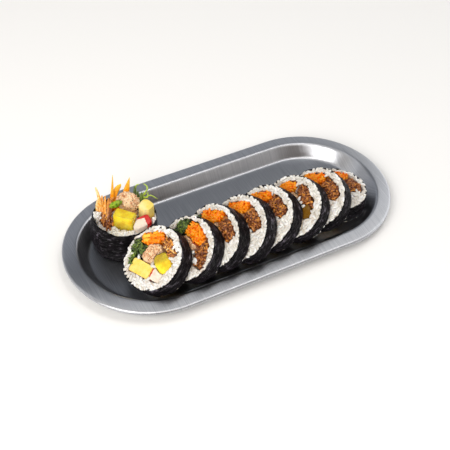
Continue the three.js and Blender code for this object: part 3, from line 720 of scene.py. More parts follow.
tip_tone = add(tree, "Mix", {0: paler, 6: pored, 7: linear(EGG_CREAM)}, data_type="RGBA")[2]
scorch = add(tree, "MapRange", {"Value": browned, "From Min": 0.3, "From Max": 1.0})["Result"]
egg_tone = add(tree, "Mix", {0: scorch, 6: tip_tone, 7: linear(EGG_BROWN)}, data_type="RGBA")[2]
dress(tree, shader, egg_tone, (cloud, 0.35, 0.55), (pores, 0.35, 0.25), glow=(0.2, (1.0, 0.7, 0.3), 1.0))

for roll in ROLLS:
    parts = []
    bevel, dome = (1.8, 0.8) if roll["end"] else (0.4, 0.1)
    for points, faces, outline in filling_bars(roll, "egg", 72, bevel=bevel, dome=dome):
        points = push_out(points, 0.12 * lumps(points, 5, 21) + 0.06 * lumps(points, 2, 22), outline)
        points[:, 2] += 0.1 * lumps(points[:, :2], 4, 23)
        turn = FILLINGS["egg"][0]["turn"] + roll["roll"]
        down = -turned(points[:, :2] - outline.mean(0), -turn)[:, 1]
        pan_side = np.clip((down - FRIED_FROM) / 0.4, 0, 1) + 0.45 * np.clip((-down - PALER_FROM) / 0.4, 0, 1)
        if roll["end"]:
            # In the uncut end: browner below a height, and paler towards the left.
            left = outline.mean(0)[0] - points[:, 0]
            pan_side = 0.8 * np.clip((END_BROWNER_BELOW - points[:, 2]) / 3, 0, 1) - np.clip(left / 3, 0, 0.8)
        parts.append((points, faces, pan_side))
    make_filling(roll, "egg", parts, omelette)

# === Pickled radish ====================================================================================
# Yellow pickled radish: the whole root is pickled and cut lengthwise in bars, which stay crisp and wet. They
# are darker on the sides that look away from the light, and in one slice all over.
RADISH_YELLOW, RADISH_BRIGHT, RADISH_SHADE_OLIVE, RADISH_SHADE_AMBER = "#efc014", "#ffe834", "#77651c", "#7a5410"
DARK_SLICE, DARKER = 6, 2.6
END_EDGE, END_SHADED_BELOW = 36.0, 33
# Pickled radish: a full yellow with a glassy gloss, and the light goes deep into it. Its olive and amber
# tones are painted shade.
pickled_radish, tree, shader = new_finish("yellow pickled radish, wet")
position = add(tree, "TexCoord")["Object"]
radish_painted_shade = add(tree, "Attribute", attribute_name="shade")["Fac"]
cloud = add(tree, "TexNoise", {
    "Vector": position, "Scale": per_metre(5), "Detail": 5, "Roughness": 0.6})["Fac"]
fibres = add(tree, "TexNoise", {
    "Vector": position, "Scale": per_metre(1.1), "Detail": 5, "Roughness": 0.65})["Fac"]
flesh = add(tree, "ValToRGB", {"Fac": cloud}, stops=[(0.36, RADISH_YELLOW), (0.6, RADISH_BRIGHT)])["Color"]
# Olive and amber are painted shade, their share frayed along the fibres.
shade_amber_share = add(tree, "MapRange", {"Value": radish_painted_shade, "From Min": 1.0, "From Max": 2.0})["Result"]
radish_shade_tone = add(tree, "Mix", {
    0: shade_amber_share, 6: linear(RADISH_SHADE_OLIVE), 7: linear(RADISH_SHADE_AMBER)}, data_type="RGBA")[2]
edge = add(tree, "Math", {0: radish_painted_shade, 1: fibres}, operation="MULTIPLY")[0]
depth = add(tree, "MapRange", {"Value": edge, "From Min": 0.05, "From Max": 0.7})["Result"]
radish_tone = add(tree, "Mix", {0: depth, 6: flesh, 7: radish_shade_tone}, data_type="RGBA")[2]
dress(tree, shader, radish_tone, (fibres, 0.14, 0.36), (fibres, 0.3, 0.2), glow=(0.3, (1.0, 0.7, 0.15), 1.5))

for roll in ROLLS:
    parts = []
    bevel, dome = (0.9, 0.2) if roll["end"] else (0.5, 0.1)
    for points, faces, outline in filling_bars(roll, "radish", 72, bevel=bevel, dome=dome):
        points = push_out(points, 0.2 * lumps(points, 7, 31), outline)
        points[:, 2] += 0.12 * lumps(points[:, :2], 5, 32)
        # Painted shade: olive towards the upper left of the cut with a thin darker rim there, darker all over
        # in one slice, and in the uncut end olive along the top and amber low down.
        side = turned(points[:, :2] - outline.mean(0), -roll["roll"])
        across = 0.5 * side[:, 1] - 0.85 * side[:, 0]
        rim = np.clip((across - 0.8 * across.max()) / 0.8, 0, 1)
        painted_shade = 0.85 * np.clip((across + 2.5) / 5, 0, 1) + 0.6 * rim
        if roll["number"] == DARK_SLICE:
            painted_shade = painted_shade + DARKER
        if roll["end"]:
            shaded_foot = np.clip((END_SHADED_BELOW - points[:, 2]) / 9, 0, 1)
            painted_shade = 0.4 * np.clip((points[:, 2] - END_EDGE) / 1.0, 0, 1) + 1.1 * shaded_foot
        parts.append((points, faces, painted_shade))
    make_filling(roll, "radish", parts, pickled_radish)

# === Crab sticks =======================================================================================
# Surimi sticks: white fish paste in fine parallel fibres, rolled up, with a thin skin dyed red on two sides.
# One lies beside the egg all along the roll, a little squeezed by what is round it.
CRAB_WHITE, CRAB_PINK, CRAB_RED = "#efe4d0", "#e8c8b8", "#cc1a0c"
RED_SIDE, RED_DEPTH = (-0.956, -0.292), 1.8     # direction of the red side in the cut, and the dye's depth
END_RED_FROM = (2.6, 2.2)
# Surimi: a warm, faintly pink white, moist, with the dye fraying along the fibres.
surimi, tree, shader = new_finish("surimi stick with red skin")
position = add(tree, "TexCoord")["Object"]
skin = add(tree, "Attribute", attribute_name="shade")["Fac"]
cloud = add(tree, "TexNoise", {"Vector": position, "Scale": per_metre(5), "Detail": 4})["Fac"]
fibres = add(tree, "TexNoise", {"Vector": position, "Scale": per_metre(1.0), "Detail": 4})["Fac"]
paste = add(tree, "ValToRGB", {"Fac": cloud}, stops=[(0.4, CRAB_WHITE), (0.75, CRAB_PINK)])["Color"]
ragged = add(tree, "Math", {0: skin, 1: fibres}, operation="ADD")[0]
dye = add(tree, "MapRange", {"Value": ragged, "From Min": 0.8, "From Max": 1.15})["Result"]
crab_tone = add(tree, "Mix", {0: dye, 6: paste, 7: linear(CRAB_RED)}, data_type="RGBA")[2]
dress(tree, shader, crab_tone, (fibres, 0.25, 0.45), (fibres, 0.4, 0.2), glow=(0.2, (1.0, 0.7, 0.6), 1.0))

for roll in ROLLS:
    parts = []
    for points, faces, outline in filling_bars(roll, "crab", 56, bevel=0.6, dome=0.1):
        points = push_out(points, 0.15 * lumps(points, 3, 41), outline)
        points[:, 2] += 0.15 * lumps(points[:, :2], 3, 42)
        side = turned(points[:, :2] - outline.mean(0), -roll["roll"])
        skin_side = RED_SIDE[0] * side[:, 0] + RED_SIDE[1] * side[:, 1]
        red = np.clip((skin_side - skin_side.max() + RED_DEPTH) / 0.5, 0, 1)
        red += 0.6 * np.clip((side[:, 1].min() + 1.0 - side[:, 1]) / 0.5, 0, 1)
        if roll["end"]:
            red = np.clip((side - END_RED_FROM) / 0.8, 0, 1).sum(1)
        parts.append((points, faces, np.clip(red, 0, 1)))
    make_filling(roll, "crab", parts, surimi)

# === Carrot ============================================================================================
# Carrot in matchsticks of about 2 mm, fried briefly in oil, so they are soft, bright and shiny. They run
# along the roll in a bundle, and the knife leaves short bits across its cut. In the uncut end three long
# ones stand up out of it.
CARROT_STICK = 1.9
SHOWN_SIDE = np.array([-0.5, -0.87, 0.1])       # standing strips turn their broad side to the front left
EVEN = ((0, 0.75), (0.12, 1), (0.88, 1), (1, 0.75))
BACK_SHARE = 0.6            # of the bits on a cut that have a twin on the other one
BITS_OUTWARD = 0.6          # less than 1 moves bits from the middle of a filling to its edge
CORE_SHARE = 0.93           # of a bundle's section, filled by its core
FOOT_HEIGHT = 14.0          # of the strips that stand in the uncut end
FIRST_BITS, ROW_BITS = 22, 46


def stick(path, width, depth, turn=0.0, profile=EVEN, tone=0.5, tip_tone=None, sides=8, guide=None):
    """A cut strip of food along a path, its width following a profile of (place, share) pairs."""
    path = np.asarray(path, float)
    along = np.gradient(path, axis=0)
    along /= np.linalg.norm(along, axis=1)[:, None]
    if guide is None:
        guide = np.array([0.3, 0.2, 1.0]) if abs(along[:, 2]).mean() < 0.6 else np.array([1.0, 0.15, 0.1])
    one = np.cross(along, guide)
    one /= np.linalg.norm(one, axis=1)[:, None]
    two = np.cross(along, one)
    a = 2 * math.pi * (np.arange(sides) + 0.5) / sides
    square = 1 / (np.abs(np.cos(a)) ** 4 + np.abs(np.sin(a)) ** 4) ** 0.25
    steps = np.linspace(0, 1, len(path))
    share = np.interp(steps, *zip(*profile))
    flat, deep = square * np.cos(a) * width / 2, square * np.sin(a) * depth / 2
    first = (flat * math.cos(turn) - deep * math.sin(turn))[:, None]
    second = (flat * math.sin(turn) + deep * math.cos(turn))[:, None]
    points, faces = loft([p + share[i] * (first * one[i] + second * two[i]) for i, p in enumerate(path)])
    last = tone if tip_tone is None else tip_tone
    tones = tone + (last - tone) * steps ** 1.5
    return points, faces, np.concatenate([np.repeat(tones, sides), [tone, last]])


def bowed(start, end, bow, steps=6):
    """A path from start to end that bows sideways."""
    t = np.linspace(0, 1, steps)[:, None]
    return np.asarray(start) * (1 - t) + np.asarray(end) * t + np.asarray(bow) * np.sin(math.pi * t)


def smooth_path(points, steps):
    """A smooth line through points."""
    points = np.asarray(points, float)
    t = np.linspace(0, len(points) - 1, steps)
    slope = np.gradient(points, axis=0)
    i = np.clip(t.astype(int), 0, len(points) - 2)
    u = (t - i)[:, None]
    return ((1 + 2 * u) * (1 - u) ** 2 * points[i] + u * (1 - u) ** 2 * slope[i]
            + u * u * (3 - 2 * u) * points[i + 1] + u * u * (u - 1) * slope[i + 1])


def bundle(roll, key, seed, spacing, width, stand, tones, drift=1.2):
    """Strips that run through a roll inside a filling's section, over a slightly shorter core."""
    draw = np.random.default_rng(seed)
    parts = []
    for blob in roll_layout(roll)[key]:
        outline = filling_outline(roll, key, blob, OUTLINE_STEPS)
        middle = outline.mean(0)
        core = middle + (outline - middle) * CORE_SHARE
        low, high = (0.0, END_TOPS[key][0] - 3.0) if roll["end"] else (roll["low"] + 1.0, roll["high"] - 1.0)
        points, faces = loaf(core, low, high, bevel=0.6)
        points = push_out(points, 0.3 * lumps(points, 3, seed), core)
        parts.append((points, faces, tones[0]))
        edge = np.arctan2(*(outline - middle).T[::-1])
        order = np.argsort(edge)
        far = np.hypot(*(outline - middle).T)

        def inside(p):
            radius = np.interp(math.atan2(p[1], p[0]), edge[order], far[order], period=2 * math.pi)
            return math.hypot(*p) < radius - width * 0.42

        for p in spread(draw, spacing, 900, inside, far.max()):
            start = middle + p + draw.normal(0, drift * 0.25, 2)
            foot = np.append(start, low - stand * draw.uniform(0, 1) - 0.8)
            top = np.append(middle + p, high + 1.0 + stand * draw.uniform(-0.5, 1.2))
            if roll["end"]:
                foot[2], top[2] = FOOT_HEIGHT, high + 2.5 + draw.uniform(-1.5, 2.5)
            bow = np.append(draw.normal(0, drift * 0.3, 2), 0)
            w = width * draw.uniform(0.8, 1.2)
            parts.append(stick(bowed(foot, top, bow), w, w * draw.uniform(0.6, 1.0), draw.uniform(0, 3),
                               tone=draw.uniform(*tones), sides=6))
    return parts


def spots(draw, outline, count, reach):
    """Random places within a share of a filling's outline."""
    middle = outline.mean(0)
    for _ in range(count):
        arm = outline[draw.integers(len(outline))] - middle
        yield middle + arm * draw.uniform(0, reach) ** BITS_OUTWARD


def laid_strip(roll, draw, flat, height, width, depth, top=0.0, **shape):
    """A strip on the cut that shows and, for most, its twin on the other one."""
    strips = [stick(np.column_stack([flat, top + height]), width, depth, **shape)]
    if not roll["end"] and draw.uniform() < BACK_SHARE:
        strips.append(stick(np.column_stack([flat, roll["low"] - height]), width, depth, **shape))
    return strips


def crossing_bits(roll, key, draw, count, length, width, tones, lift=(-0.4, 0.35)):
    """Short bits that lie every way across both cut faces of a filling, their ends tucked in."""
    parts = []
    for blob in roll_layout(roll)[key]:
        for spot in spots(draw, filling_outline(roll, key, blob, OUTLINE_STEPS), count, 0.8):
            a, reach = draw.uniform(0, math.pi), draw.uniform(*length) / 2
            t = np.linspace(-1, 1, 6)
            bend_out = draw.normal(0, 0.12) * reach * (1 - t * t)
            x = spot[0] + reach * t * math.cos(a) - bend_out * math.sin(a)
            y = spot[1] + reach * t * math.sin(a) + bend_out * math.cos(a)
            z = draw.uniform(*lift) - 0.9 * np.abs(t) ** 3
            w, tone = draw.uniform(*width), draw.uniform(*tones)
            parts += laid_strip(roll, draw, np.column_stack([x, y]), z, w, w * 0.7, turn=draw.uniform(0, 3),
                                tone=tone, sides=6)
    return parts


def strand_tint(tree, size, tones, **fibre):
    """Fibres of that size in mm, and each strand's own tint as they vary it."""
    position = add(tree, "TexCoord")["Object"]
    each = add(tree, "Attribute", attribute_name="shade")["Fac"]
    fibres = add(tree, "TexNoise", {"Vector": position, "Scale": per_metre(size), **fibre})["Fac"]
    mixed = add(tree, "Math", {0: each, 1: fibres}, operation="ADD")[0]
    tint = add(tree, "MapRange", {"Value": mixed, "From Min": tones[0], "From Max": tones[1]})["Result"]
    return fibres, tint


# Fried carrot: deep to light orange from strip to strip, with an oily shine on the soft fibres; the lightest
# orange also serves as a painted highlight.
CARROT_DEEP, CARROT_ORANGE, CARROT_PALE_AND_HIGHLIGHT = "#f05e00", "#ff9800", "#ffce48"
fried_carrot, tree, shader = new_finish("carrot matchsticks fried in oil")
fibres, tint = strand_tint(tree, 1.6, (0.4, 1.8), Detail=3)
carrot_tone = add(tree, "ValToRGB", {"Fac": tint}, stops=[
    (0.0, CARROT_DEEP), (0.9, CARROT_PALE_AND_HIGHLIGHT), (0.4, CARROT_ORANGE)])["Color"]
dress(tree, shader, carrot_tone, (fibres, 0.2, 0.45), (fibres, 0.3, 0.2), glow=(0.2, (1.0, 0.45, 0.1), 0.6),
      **{"Specular IOR Level": 0.35})

# Broad folded matchsticks on the first slice, from (x, y) to (x, y), with their lift and tone, highest on the
# left folds as a painted highlight.
CARROT_FOLDS = [((-20, 4.6), (-14, 11.6), 0.8, 1.2), ((-17.5, 3.6), (-12, 8), 0.6, 0.9),
                ((-16.5, 9.5), (-9.5, 13.8), 0.9, 0.4), ((-13.8, 5.6), (-6.8, 10.6), 0.8, 0.2),
                ((-12.8, 12.8), (-5.8, 17.6), 0.8, 0.45), ((-11.5, 8.4), (-4.6, 13), 1.0, 0.3),
                ((-8.8, 12), (-3.2, 16.8), 0.7, 0.1), ((-15, 12.6), (-10.4, 16), 0.5, 0.8)]
# Standing strips of the uncut end: path, width, profile, tone and tone of the tip.
CARROT_SPEARS = [([(-4.4, 13, 20), (-4.4, 15.2, 28), (-1.8, 19, 40), (0.2, 21.5, 53)], 4.4,
                  ((0, 0.9), (0.3, 1), (0.5, 0.75), (0.75, 0.4), (1, 0.08)), 0.3, 1.15),
                 ([(-2.4, 15, 20), (-2.4, 16.7, 28), (1.5, 19.6, 37), (5, 17.3, 45)], 4.4,
                  ((0, 0.8), (0.5, 0.8), (0.75, 1), (0.9, 0.7), (1, 0.15)), 0.5, 1.3),
                 ([(4, 11, 20), (5, 13, 28), (9, 16, 38), (12.5, 17.1, 49)], 5.4,
                  ((0, 0.9), (0.5, 1), (0.72, 0.8), (1, 0.08)), 0.1, 1.15)]
SPEAR_DEPTH = 1.6
for roll in ROLLS:
    draw = np.random.default_rng(60 + roll["number"])
    first = roll["number"] == FIRST_SLICE
    parts = bundle(roll, "carrot", 70 + roll["number"], 1.75, CARROT_STICK, 0.6, tones=(0.1, 0.8))
    if roll["end"]:
        for path, width, profile, tone, tip_tone in CARROT_SPEARS:
            parts.append(stick(smooth_path(path, 22), width, SPEAR_DEPTH, 0, profile, tone, tip_tone,
                               guide=SHOWN_SIDE))
    else:
        count = FIRST_BITS if first else ROW_BITS
        parts += crossing_bits(roll, "carrot", draw, count, (2.5, 6), (1.4, 2.1), (0.05, 0.7))
    if first:
        for (x0, y0), (x1, y1), lift, tone in CARROT_FOLDS:
            t = np.linspace(0, 1, 8)
            path = np.column_stack([x0 + (x1 - x0) * t, y0 + (y1 - y0) * t + 0.5 * np.sin(math.pi * t),
                                    lift - 1.5 * np.abs(2 * t - 1) ** 4])
            parts.append(stick(path, draw.uniform(2.3, 2.9), 1.6, 0.2, tone=tone))
    make_filling(roll, "carrot", parts, fried_carrot)

# === Burdock and meat ==================================================================================
# Burdock root in thin shreds and chopped meat, both braised in soy sauce and syrup until brown, sticky and
# slightly see-through. In the uncut end the burdock stands over the rice in a sheaf of long strips.
SHRED = 1.5
BRAISE_DARK, BRAISE_BROWN, BRAISE_AMBER = "#50280f", "#804626", "#bb763a"
BRAISE_GOLD, BRAISE_PALE = "#f0a234", "#fbdf9c"
# Soy braise: dark brown to pale amber from shred to shred, under a sticky glaze.
braised, tree, shader = new_finish("burdock and meat braised in soy sauce")
fibres, tint = strand_tint(tree, 1.5, (0.4, 1.8), Detail=4)
braise_tone = add(tree, "ValToRGB", {"Fac": tint}, stops=[
    (0.0, BRAISE_DARK), (1.0, BRAISE_PALE), (0.28, BRAISE_BROWN), (0.52, BRAISE_AMBER), (0.78, BRAISE_GOLD)])
dress(tree, shader, braise_tone["Color"], (fibres, 0.18, 0.45), (fibres, 0.4, 0.2),
      glow=(0.15, (1.0, 0.5, 0.2), 0.8))

# Standing strips of the uncut end: path, width, tone and tone of the tip.
STRIP_DEPTH, STRIP_ENDS = 1.1, ((0, 0.8), (0.25, 1), (0.8, 0.85), (1, 0.4))
END_STRIPS = [([(-18, 10, 20), (-17.6, 12.7, 26), (-16.9, 15.4, 31), (-15.2, 17.6, 36)], 2.8, 1.05, 1.25),
              ([(-17.2, 5, 20), (-16.8, 8.5, 26), (-15.5, 13.6, 32), (-14, 17.2, 38)], 2.9, 0.9, 1.1),
              ([(-16.2, 2.6, 20), (-15.6, 5.4, 26), (-13.8, 12.7, 32), (-11.2, 17.8, 39)], 2.9, 0.75, 1.05),
              ([(-15.6, 0.6, 20), (-15.1, 2.7, 26), (-12.2, 10.6, 32), (-9.1, 16.7, 38.5)], 2.8, 0.95, 1.0),
              ([(-14.4, 0, 20), (-13.7, 2, 26), (-10.5, 8.5, 32), (-7, 14.9, 37)], 2.8, 0.6, 0.8),
              ([(-14, -1, 20), (-13.5, 0.6, 26), (-9.8, 5.5, 31), (-6.4, 11.8, 35)], 2.6, 0.15, 0.35),
              ([(-15, -0.5, 19), (-15, 1.2, 25), (-12.8, 5.6, 29), (-10.7, 10, 33)], 2.2, 0.05, 0.5),
              ([(-17.4, 7.5, 20), (-17, 10.6, 27), (-15.6, 14.6, 33), (-13.2, 17.6, 37)], 1.6, 0.5, 0.7),
              ([(-8.6, 8, 28), (-8, 10.2, 33), (-5.6, 12.6, 36), (-2.4, 14, 37)], 2.4, 0.6, 0.8)]
END_PALE_STRIP = [(-14.5, 11, 27), (-14.9, 13.5, 33), (-14.2, 17.5, 40), (-14.3, 22.4, 45)]
END_CRUMBS = [(-18.1, -5.8, 25.5), (-16.5, -4, 26.4), (-14.7, -2.4, 27), (-13.2, -3.4, 27), (-12, -3.8, 27),
              (-15.8, -6.5, 25.6), (12.6, -9.5, 27), (15, -10.4, 26), (17, -9, 27), (13.8, -11.6, 26.2)]
MEAT_TONES, FIRST_MEAT_TONES = (0.0, 0.85), (0.25, 1.3)
SHRED_BITS, MEAT_CRUMBS = 40, 36


def flake(draw, at, size, tone):
    """One crumb or flake: a small flattened lump."""
    points = GRAIN_POINTS / [GRAIN["width"] / 2, GRAIN["length"] / 2, GRAIN["thickness"] / 2]
    points = points * (1 + 0.25 * lumps(points, 1.2, int(draw.integers(1000)))[:, None])
    points = points * size * draw.uniform([0.5, 0.9, 0.3], [0.8, 1.4, 0.55])
    return points @ turn_matrix(draw, 0.9).T + at, BALL_FACES, tone


def crumbs(roll, key, draw, count, size, tones, lift):
    """Crumbs strewn over both cut faces of a filling."""
    parts = []
    for blob in roll_layout(roll)[key]:
        for spot in spots(draw, filling_outline(roll, key, blob, OUTLINE_STEPS), count, 0.85):
            tone, high = draw.uniform(*tones), draw.uniform(*lift)
            parts.append(flake(draw, np.append(spot, high), draw.uniform(*size), tone))
            if draw.uniform() < BACK_SHARE:
                parts.append(flake(draw, np.append(spot, roll["low"] - high), draw.uniform(*size), tone))
    return parts


for roll in ROLLS:
    draw = np.random.default_rng(80 + roll["number"])
    parts = bundle(roll, "burdock", 90 + roll["number"], 1.75, SHRED, 0.6, drift=2.2, tones=(0.15, 0.7))
    if roll["end"]:
        for path, width, tone, tip_tone in END_STRIPS:
            parts.append(stick(smooth_path(path, 18), width, STRIP_DEPTH, draw.uniform(-0.3, 0.3), STRIP_ENDS,
                               tone, tip_tone, guide=SHOWN_SIDE))
        parts.append(stick(smooth_path(END_PALE_STRIP, 18), 4.0, 0.9, 0.1, ((0, 1), (0.4, 0.8), (1, 0.35)),
                           0.95, 1.3, guide=SHOWN_SIDE))
        parts += [flake(draw, np.array(at), 1.5, draw.uniform(0.3, 0.9)) for at in END_CRUMBS]
    else:
        tones = FIRST_MEAT_TONES if roll["number"] == FIRST_SLICE else MEAT_TONES
        parts += crossing_bits(roll, "burdock", draw, SHRED_BITS, (2.2, 5.5), (0.8, 1.5), tones, (-0.3, 0.6))
        parts += crumbs(roll, "burdock", draw, MEAT_CRUMBS, (0.8, 1.5), tones, (-0.4, 0.5))
    make_filling(roll, "burdock", parts, braised)

# === Spinach ===========================================================================================
# Blanched spinach, squeezed into a rope of crumpled leaves and stalks. The cut shows the folded leaf edges,
# nearly black in the creases, and pale stalk ends.
SPINACH_DARK, SPINACH_GREEN, SPINACH_LIME = "#1c2a16", "#62783a", "#b4cc48"
# Blanched spinach: wet and dark in its creases, yellow-green on the leaf edges and stalks.
blanched, tree, shader = new_finish("blanched spinach")
veins, tint = strand_tint(tree, 1.8, (0.45, 1.6), Detail=5, Roughness=0.65)
spinach_tone = add(tree, "ValToRGB", {"Fac": tint}, stops=[
    (0.0, SPINACH_DARK), (1.0, SPINACH_LIME), (0.45, SPINACH_GREEN)])["Color"]
dress(tree, shader, spinach_tone, (veins, 0.2, 0.5), (veins, 0.6, 0.3), glow=(0.1, (0.5, 1.0, 0.2), 0.8))

FOLDED_LEAF = dict(thick=0.6, wide=2.0)
LEAF_AREA, HIDDEN_LEAF_AREA = 3.6, 7        # of cut in square mm for each folded leaf
SPINACH_SHOWS = (FIRST_SLICE, 2, END_ROLL)
STEM_ENDS, LEAF_ENDS = ((0, 1), (0.7, 0.9), (1, 0.4)), ((0, 0.8), (0.5, 1), (0.8, 0.7), (1, 0.2))
# Stems of the uncut end by path and radius, and leaves by path, width and tone.
STEMS = [([(14, 9, 25), (15.4, 12.4, 32), (16.3, 14.9, 38), (17.6, 15.2, 40.5), (19.2, 14.4, 41)], 0.6),
         ([(18.6, 8, 33), (20.5, 7.5, 37), (22.6, 7, 40), (23.4, 9, 42), (21.6, 11.6, 43.4)], 0.6),
         ([(16, 8, 30), (18.4, 6.5, 34), (21.2, 3.2, 36), (22.6, 5.6, 39)], 0.6),
         ([(19, 6, 32), (21.5, 4.2, 36), (24.5, 2.6, 36.6), (28.1, -0.4, 34)], 0.5),
         ([(17, 9, 30), (19, 7, 35), (19.6, 5, 38), (20.8, 4, 40)], 0.45)]
END_LEAVES = [([(12.6, 5, 28), (12.9, 5.5, 32), (14.2, 7.6, 35.5), (16.1, 9.8, 39)], 4.6, 0.1),
              ([(14.6, 4, 28), (15.2, 4.6, 32), (17, 6.2, 35), (18.6, 8.4, 38)], 3.6, 0.35),
              ([(11, 8, 30), (12.4, 9, 35), (13.8, 11, 39), (14.6, 13, 42.5)], 3.0, 0.15)]
for roll in ROLLS:
    draw = np.random.default_rng(110 + roll["number"])
    parts = bundle(roll, "spinach", 120 + roll["number"], 2.4, 2.0, 0.3, drift=2.0, tones=(0.0, 0.45))
    top = END_TOPS["spinach"][0] if roll["end"] else 0.0
    area = LEAF_AREA if roll["number"] in SPINACH_SHOWS else HIDDEN_LEAF_AREA
    for tail, blob in enumerate(roll_layout(roll)["spinach"]):
        outline = filling_outline(roll, "spinach", blob, OUTLINE_STEPS)
        tones = (0.45, 1.0) if tail else (0.05, 0.75)
        for centre in spots(draw, outline, int(blob["w"] * blob["h"] / area), 1.0):
            a = draw.uniform(0, math.pi)
            t = np.linspace(-1, 1, 8)
            x = t * draw.uniform(1.0, 2.4)
            y = 0.45 * np.sin(t * draw.uniform(2, 4) + draw.uniform(0, 6))
            flat = centre + np.stack([x * math.cos(a) - y * math.sin(a),
                                      x * math.sin(a) + y * math.cos(a)], 1)
            z = draw.uniform(-0.8, 0.35) - 0.5 * t ** 2
            parts += laid_strip(roll, draw, flat, z, FOLDED_LEAF["thick"], FOLDED_LEAF["wide"], top,
                                tone=draw.uniform(*tones), sides=6)
    if roll["end"]:
        for path, width, tone in END_LEAVES:
            parts.append(stick(smooth_path(path, 14), width, 0.6, 0.2, LEAF_ENDS, tone, tone + 0.2,
                               guide=SHOWN_SIDE))
        for path, radius in STEMS:
            parts.append(stick(smooth_path(path, 28), 2 * radius, 2 * radius, 0, STEM_ENDS, 1.0, 1.2,
                               sides=7))
    make_filling(roll, "spinach", parts, blanched)

# === Tuna ==============================================================================================
# Tinned tuna, flaked and mixed with mayonnaise: a beige, crumbly mass with darker flakes and specks. In the
# uncut end it is heaped over the radish in a mound.
TUNA_DOME = dict(x=6, y=7, z=33, w=17.5, h=11, rise=8.5, turn=-51, flakes=190)
DOME_RINGS, DOME_AROUND = 16, 48
FIRST_CRUMBS, ROW_CRUMBS = 150, 36
TUNA_PALE, TUNA_BEIGE, TUNA_DARK = "#f8d8b0", "#cf8f5e", "#7a3418"
# Flaked tuna: soft, matt beige lumps, each with its own tint, and brown specks.
flaked_tuna, tree, shader = new_finish("flaked tuna in mayonnaise")
position = add(tree, "TexCoord")["Object"]
paler = add(tree, "Attribute", attribute_name="shade")["Fac"]
each = add(tree, "NewGeometry")["Random Per Island"]
flakes = add(tree, "TexNoise", {
    "Vector": position, "Scale": per_metre(1.6), "Detail": 5, "Roughness": 0.65})["Fac"]
specks = add(tree, "TexVoronoi", {"Vector": position, "Scale": per_metre(1.9), "Randomness": 1})["Distance"]
mixed = add(tree, "Math", {0: each, 1: flakes}, operation="ADD")[0]
lifted = add(tree, "Math", {0: mixed, 1: paler}, operation="ADD")[0]
tint = add(tree, "MapRange", {"Value": lifted, "From Min": 0.35, "From Max": 1.5})["Result"]
tuna_tone = add(tree, "ValToRGB", {"Fac": tint}, stops=[(0.1, TUNA_BEIGE), (0.8, TUNA_PALE)])["Color"]
speck = add(tree, "MapRange", {
    "Value": specks, "From Min": 0.14, "From Max": 0.34, "To Min": 0.9, "To Max": 0})["Result"]
specked = add(tree, "Mix", {0: speck, 6: tuna_tone, 7: linear(TUNA_DARK)}, data_type="RGBA")[2]
dress(tree, shader, specked, (flakes, 0.4, 0.65), (flakes, 0.8, 0.5), glow=(0.15, (1.0, 0.6, 0.4), 0.8))


def tuna_mound(draw):
    """The heap on the uncut end: an uneven dome covered in flakes."""
    d = TUNA_DOME
    middle, size = [d["x"], d["y"], d["z"]], [d["w"] / 2, d["h"] / 2, d["rise"]]
    a = np.linspace(0, 2 * math.pi, DOME_AROUND, endpoint=False)
    rings = np.array([np.stack([size[0] * math.cos(h) * np.cos(a), size[1] * math.cos(h) * np.sin(a),
                                np.full(DOME_AROUND, size[2] * math.sin(h))], 1)
                      for h in np.linspace(-0.9, math.pi / 2 - 0.05, DOME_RINGS)])
    relief = 0.4 * lumps(rings.reshape(-1, 3), 2.6, 54) + 0.4 * lumps(rings.reshape(-1, 3), 6, 55)
    rings += rings / np.linalg.norm(rings, axis=2)[:, :, None] * relief.reshape(DOME_RINGS, DOME_AROUND, 1)
    rings[:, :, :2] = turned(rings[:, :, :2].reshape(-1, 2), d["turn"]).reshape(DOME_RINGS, DOME_AROUND, 2)
    parts = [loft(rings + middle) + (0.2,)]
    for _ in range(d["flakes"]):
        at = upward(draw) * size * draw.uniform(0.93, 1.05)
        at[:2] = turned(at[None, :2], d["turn"])[0]
        parts.append(flake(draw, at + middle, draw.uniform(0.8, 1.9), draw.uniform(-0.2, 0.5)))
    return parts


for roll in ROLLS:
    draw = np.random.default_rng(140 + roll["number"])
    parts = []
    caps = np.linspace(0.08, 0.96, 14)
    for points, faces, outline in filling_bars(roll, "tuna", 60, stand=-0.3, bevel=0.8, caps=caps):
        points[:, 2] += 0.35 * lumps(points, 2.2, 51) + 0.2 * lumps(points, 5, 52)
        points = push_out(points, 0.3 * lumps(points, 2.6, 53), outline)
        parts.append((points, faces, 0.0))
    if roll["end"]:
        parts += tuna_mound(draw)
    else:
        count = FIRST_CRUMBS if roll["number"] == FIRST_SLICE else ROW_CRUMBS
        parts += crumbs(roll, "tuna", draw, count, (0.7, 1.4), (-0.25, 0.3), (-0.6, 0.35))
    make_filling(roll, "tuna", parts, flaked_tuna)

# === Leaf ==============================================================================================
# One small fresh leaf, thin, arched and wavy. It lies loose on the uncut end, caught between the radish and
# the tuna.
LEAF = dict(x=-5.4, y=3.6, z=39.2, w=11.5, h=5.4, thick=0.45, fold=2.0, arch=2.6, lean=48, turn=-8)
LEAF_SHARES = (0.1, 0.3, 0.5, 0.7, 0.88, 1.0)
LEAF_BRIGHT, LEAF_DEEP = "#94b42a", "#45700f"
# Fresh leaf: bright and deep green in patches, with a soft waxy gloss.
fresh_leaf, tree, shader = new_finish("fresh green leaf")
position = add(tree, "TexCoord")["Object"]
veins = add(tree, "TexNoise", {"Vector": position, "Scale": per_metre(2.5), "Detail": 4})["Fac"]
leaf_tone = add(tree, "ValToRGB", {"Fac": veins}, stops=[(0.38, LEAF_DEEP), (0.58, LEAF_BRIGHT)])["Color"]
dress(tree, shader, leaf_tone, (veins, 0.3, 0.5), (veins, 0.4, 0.2), **{"Specular IOR Level": 0.4})

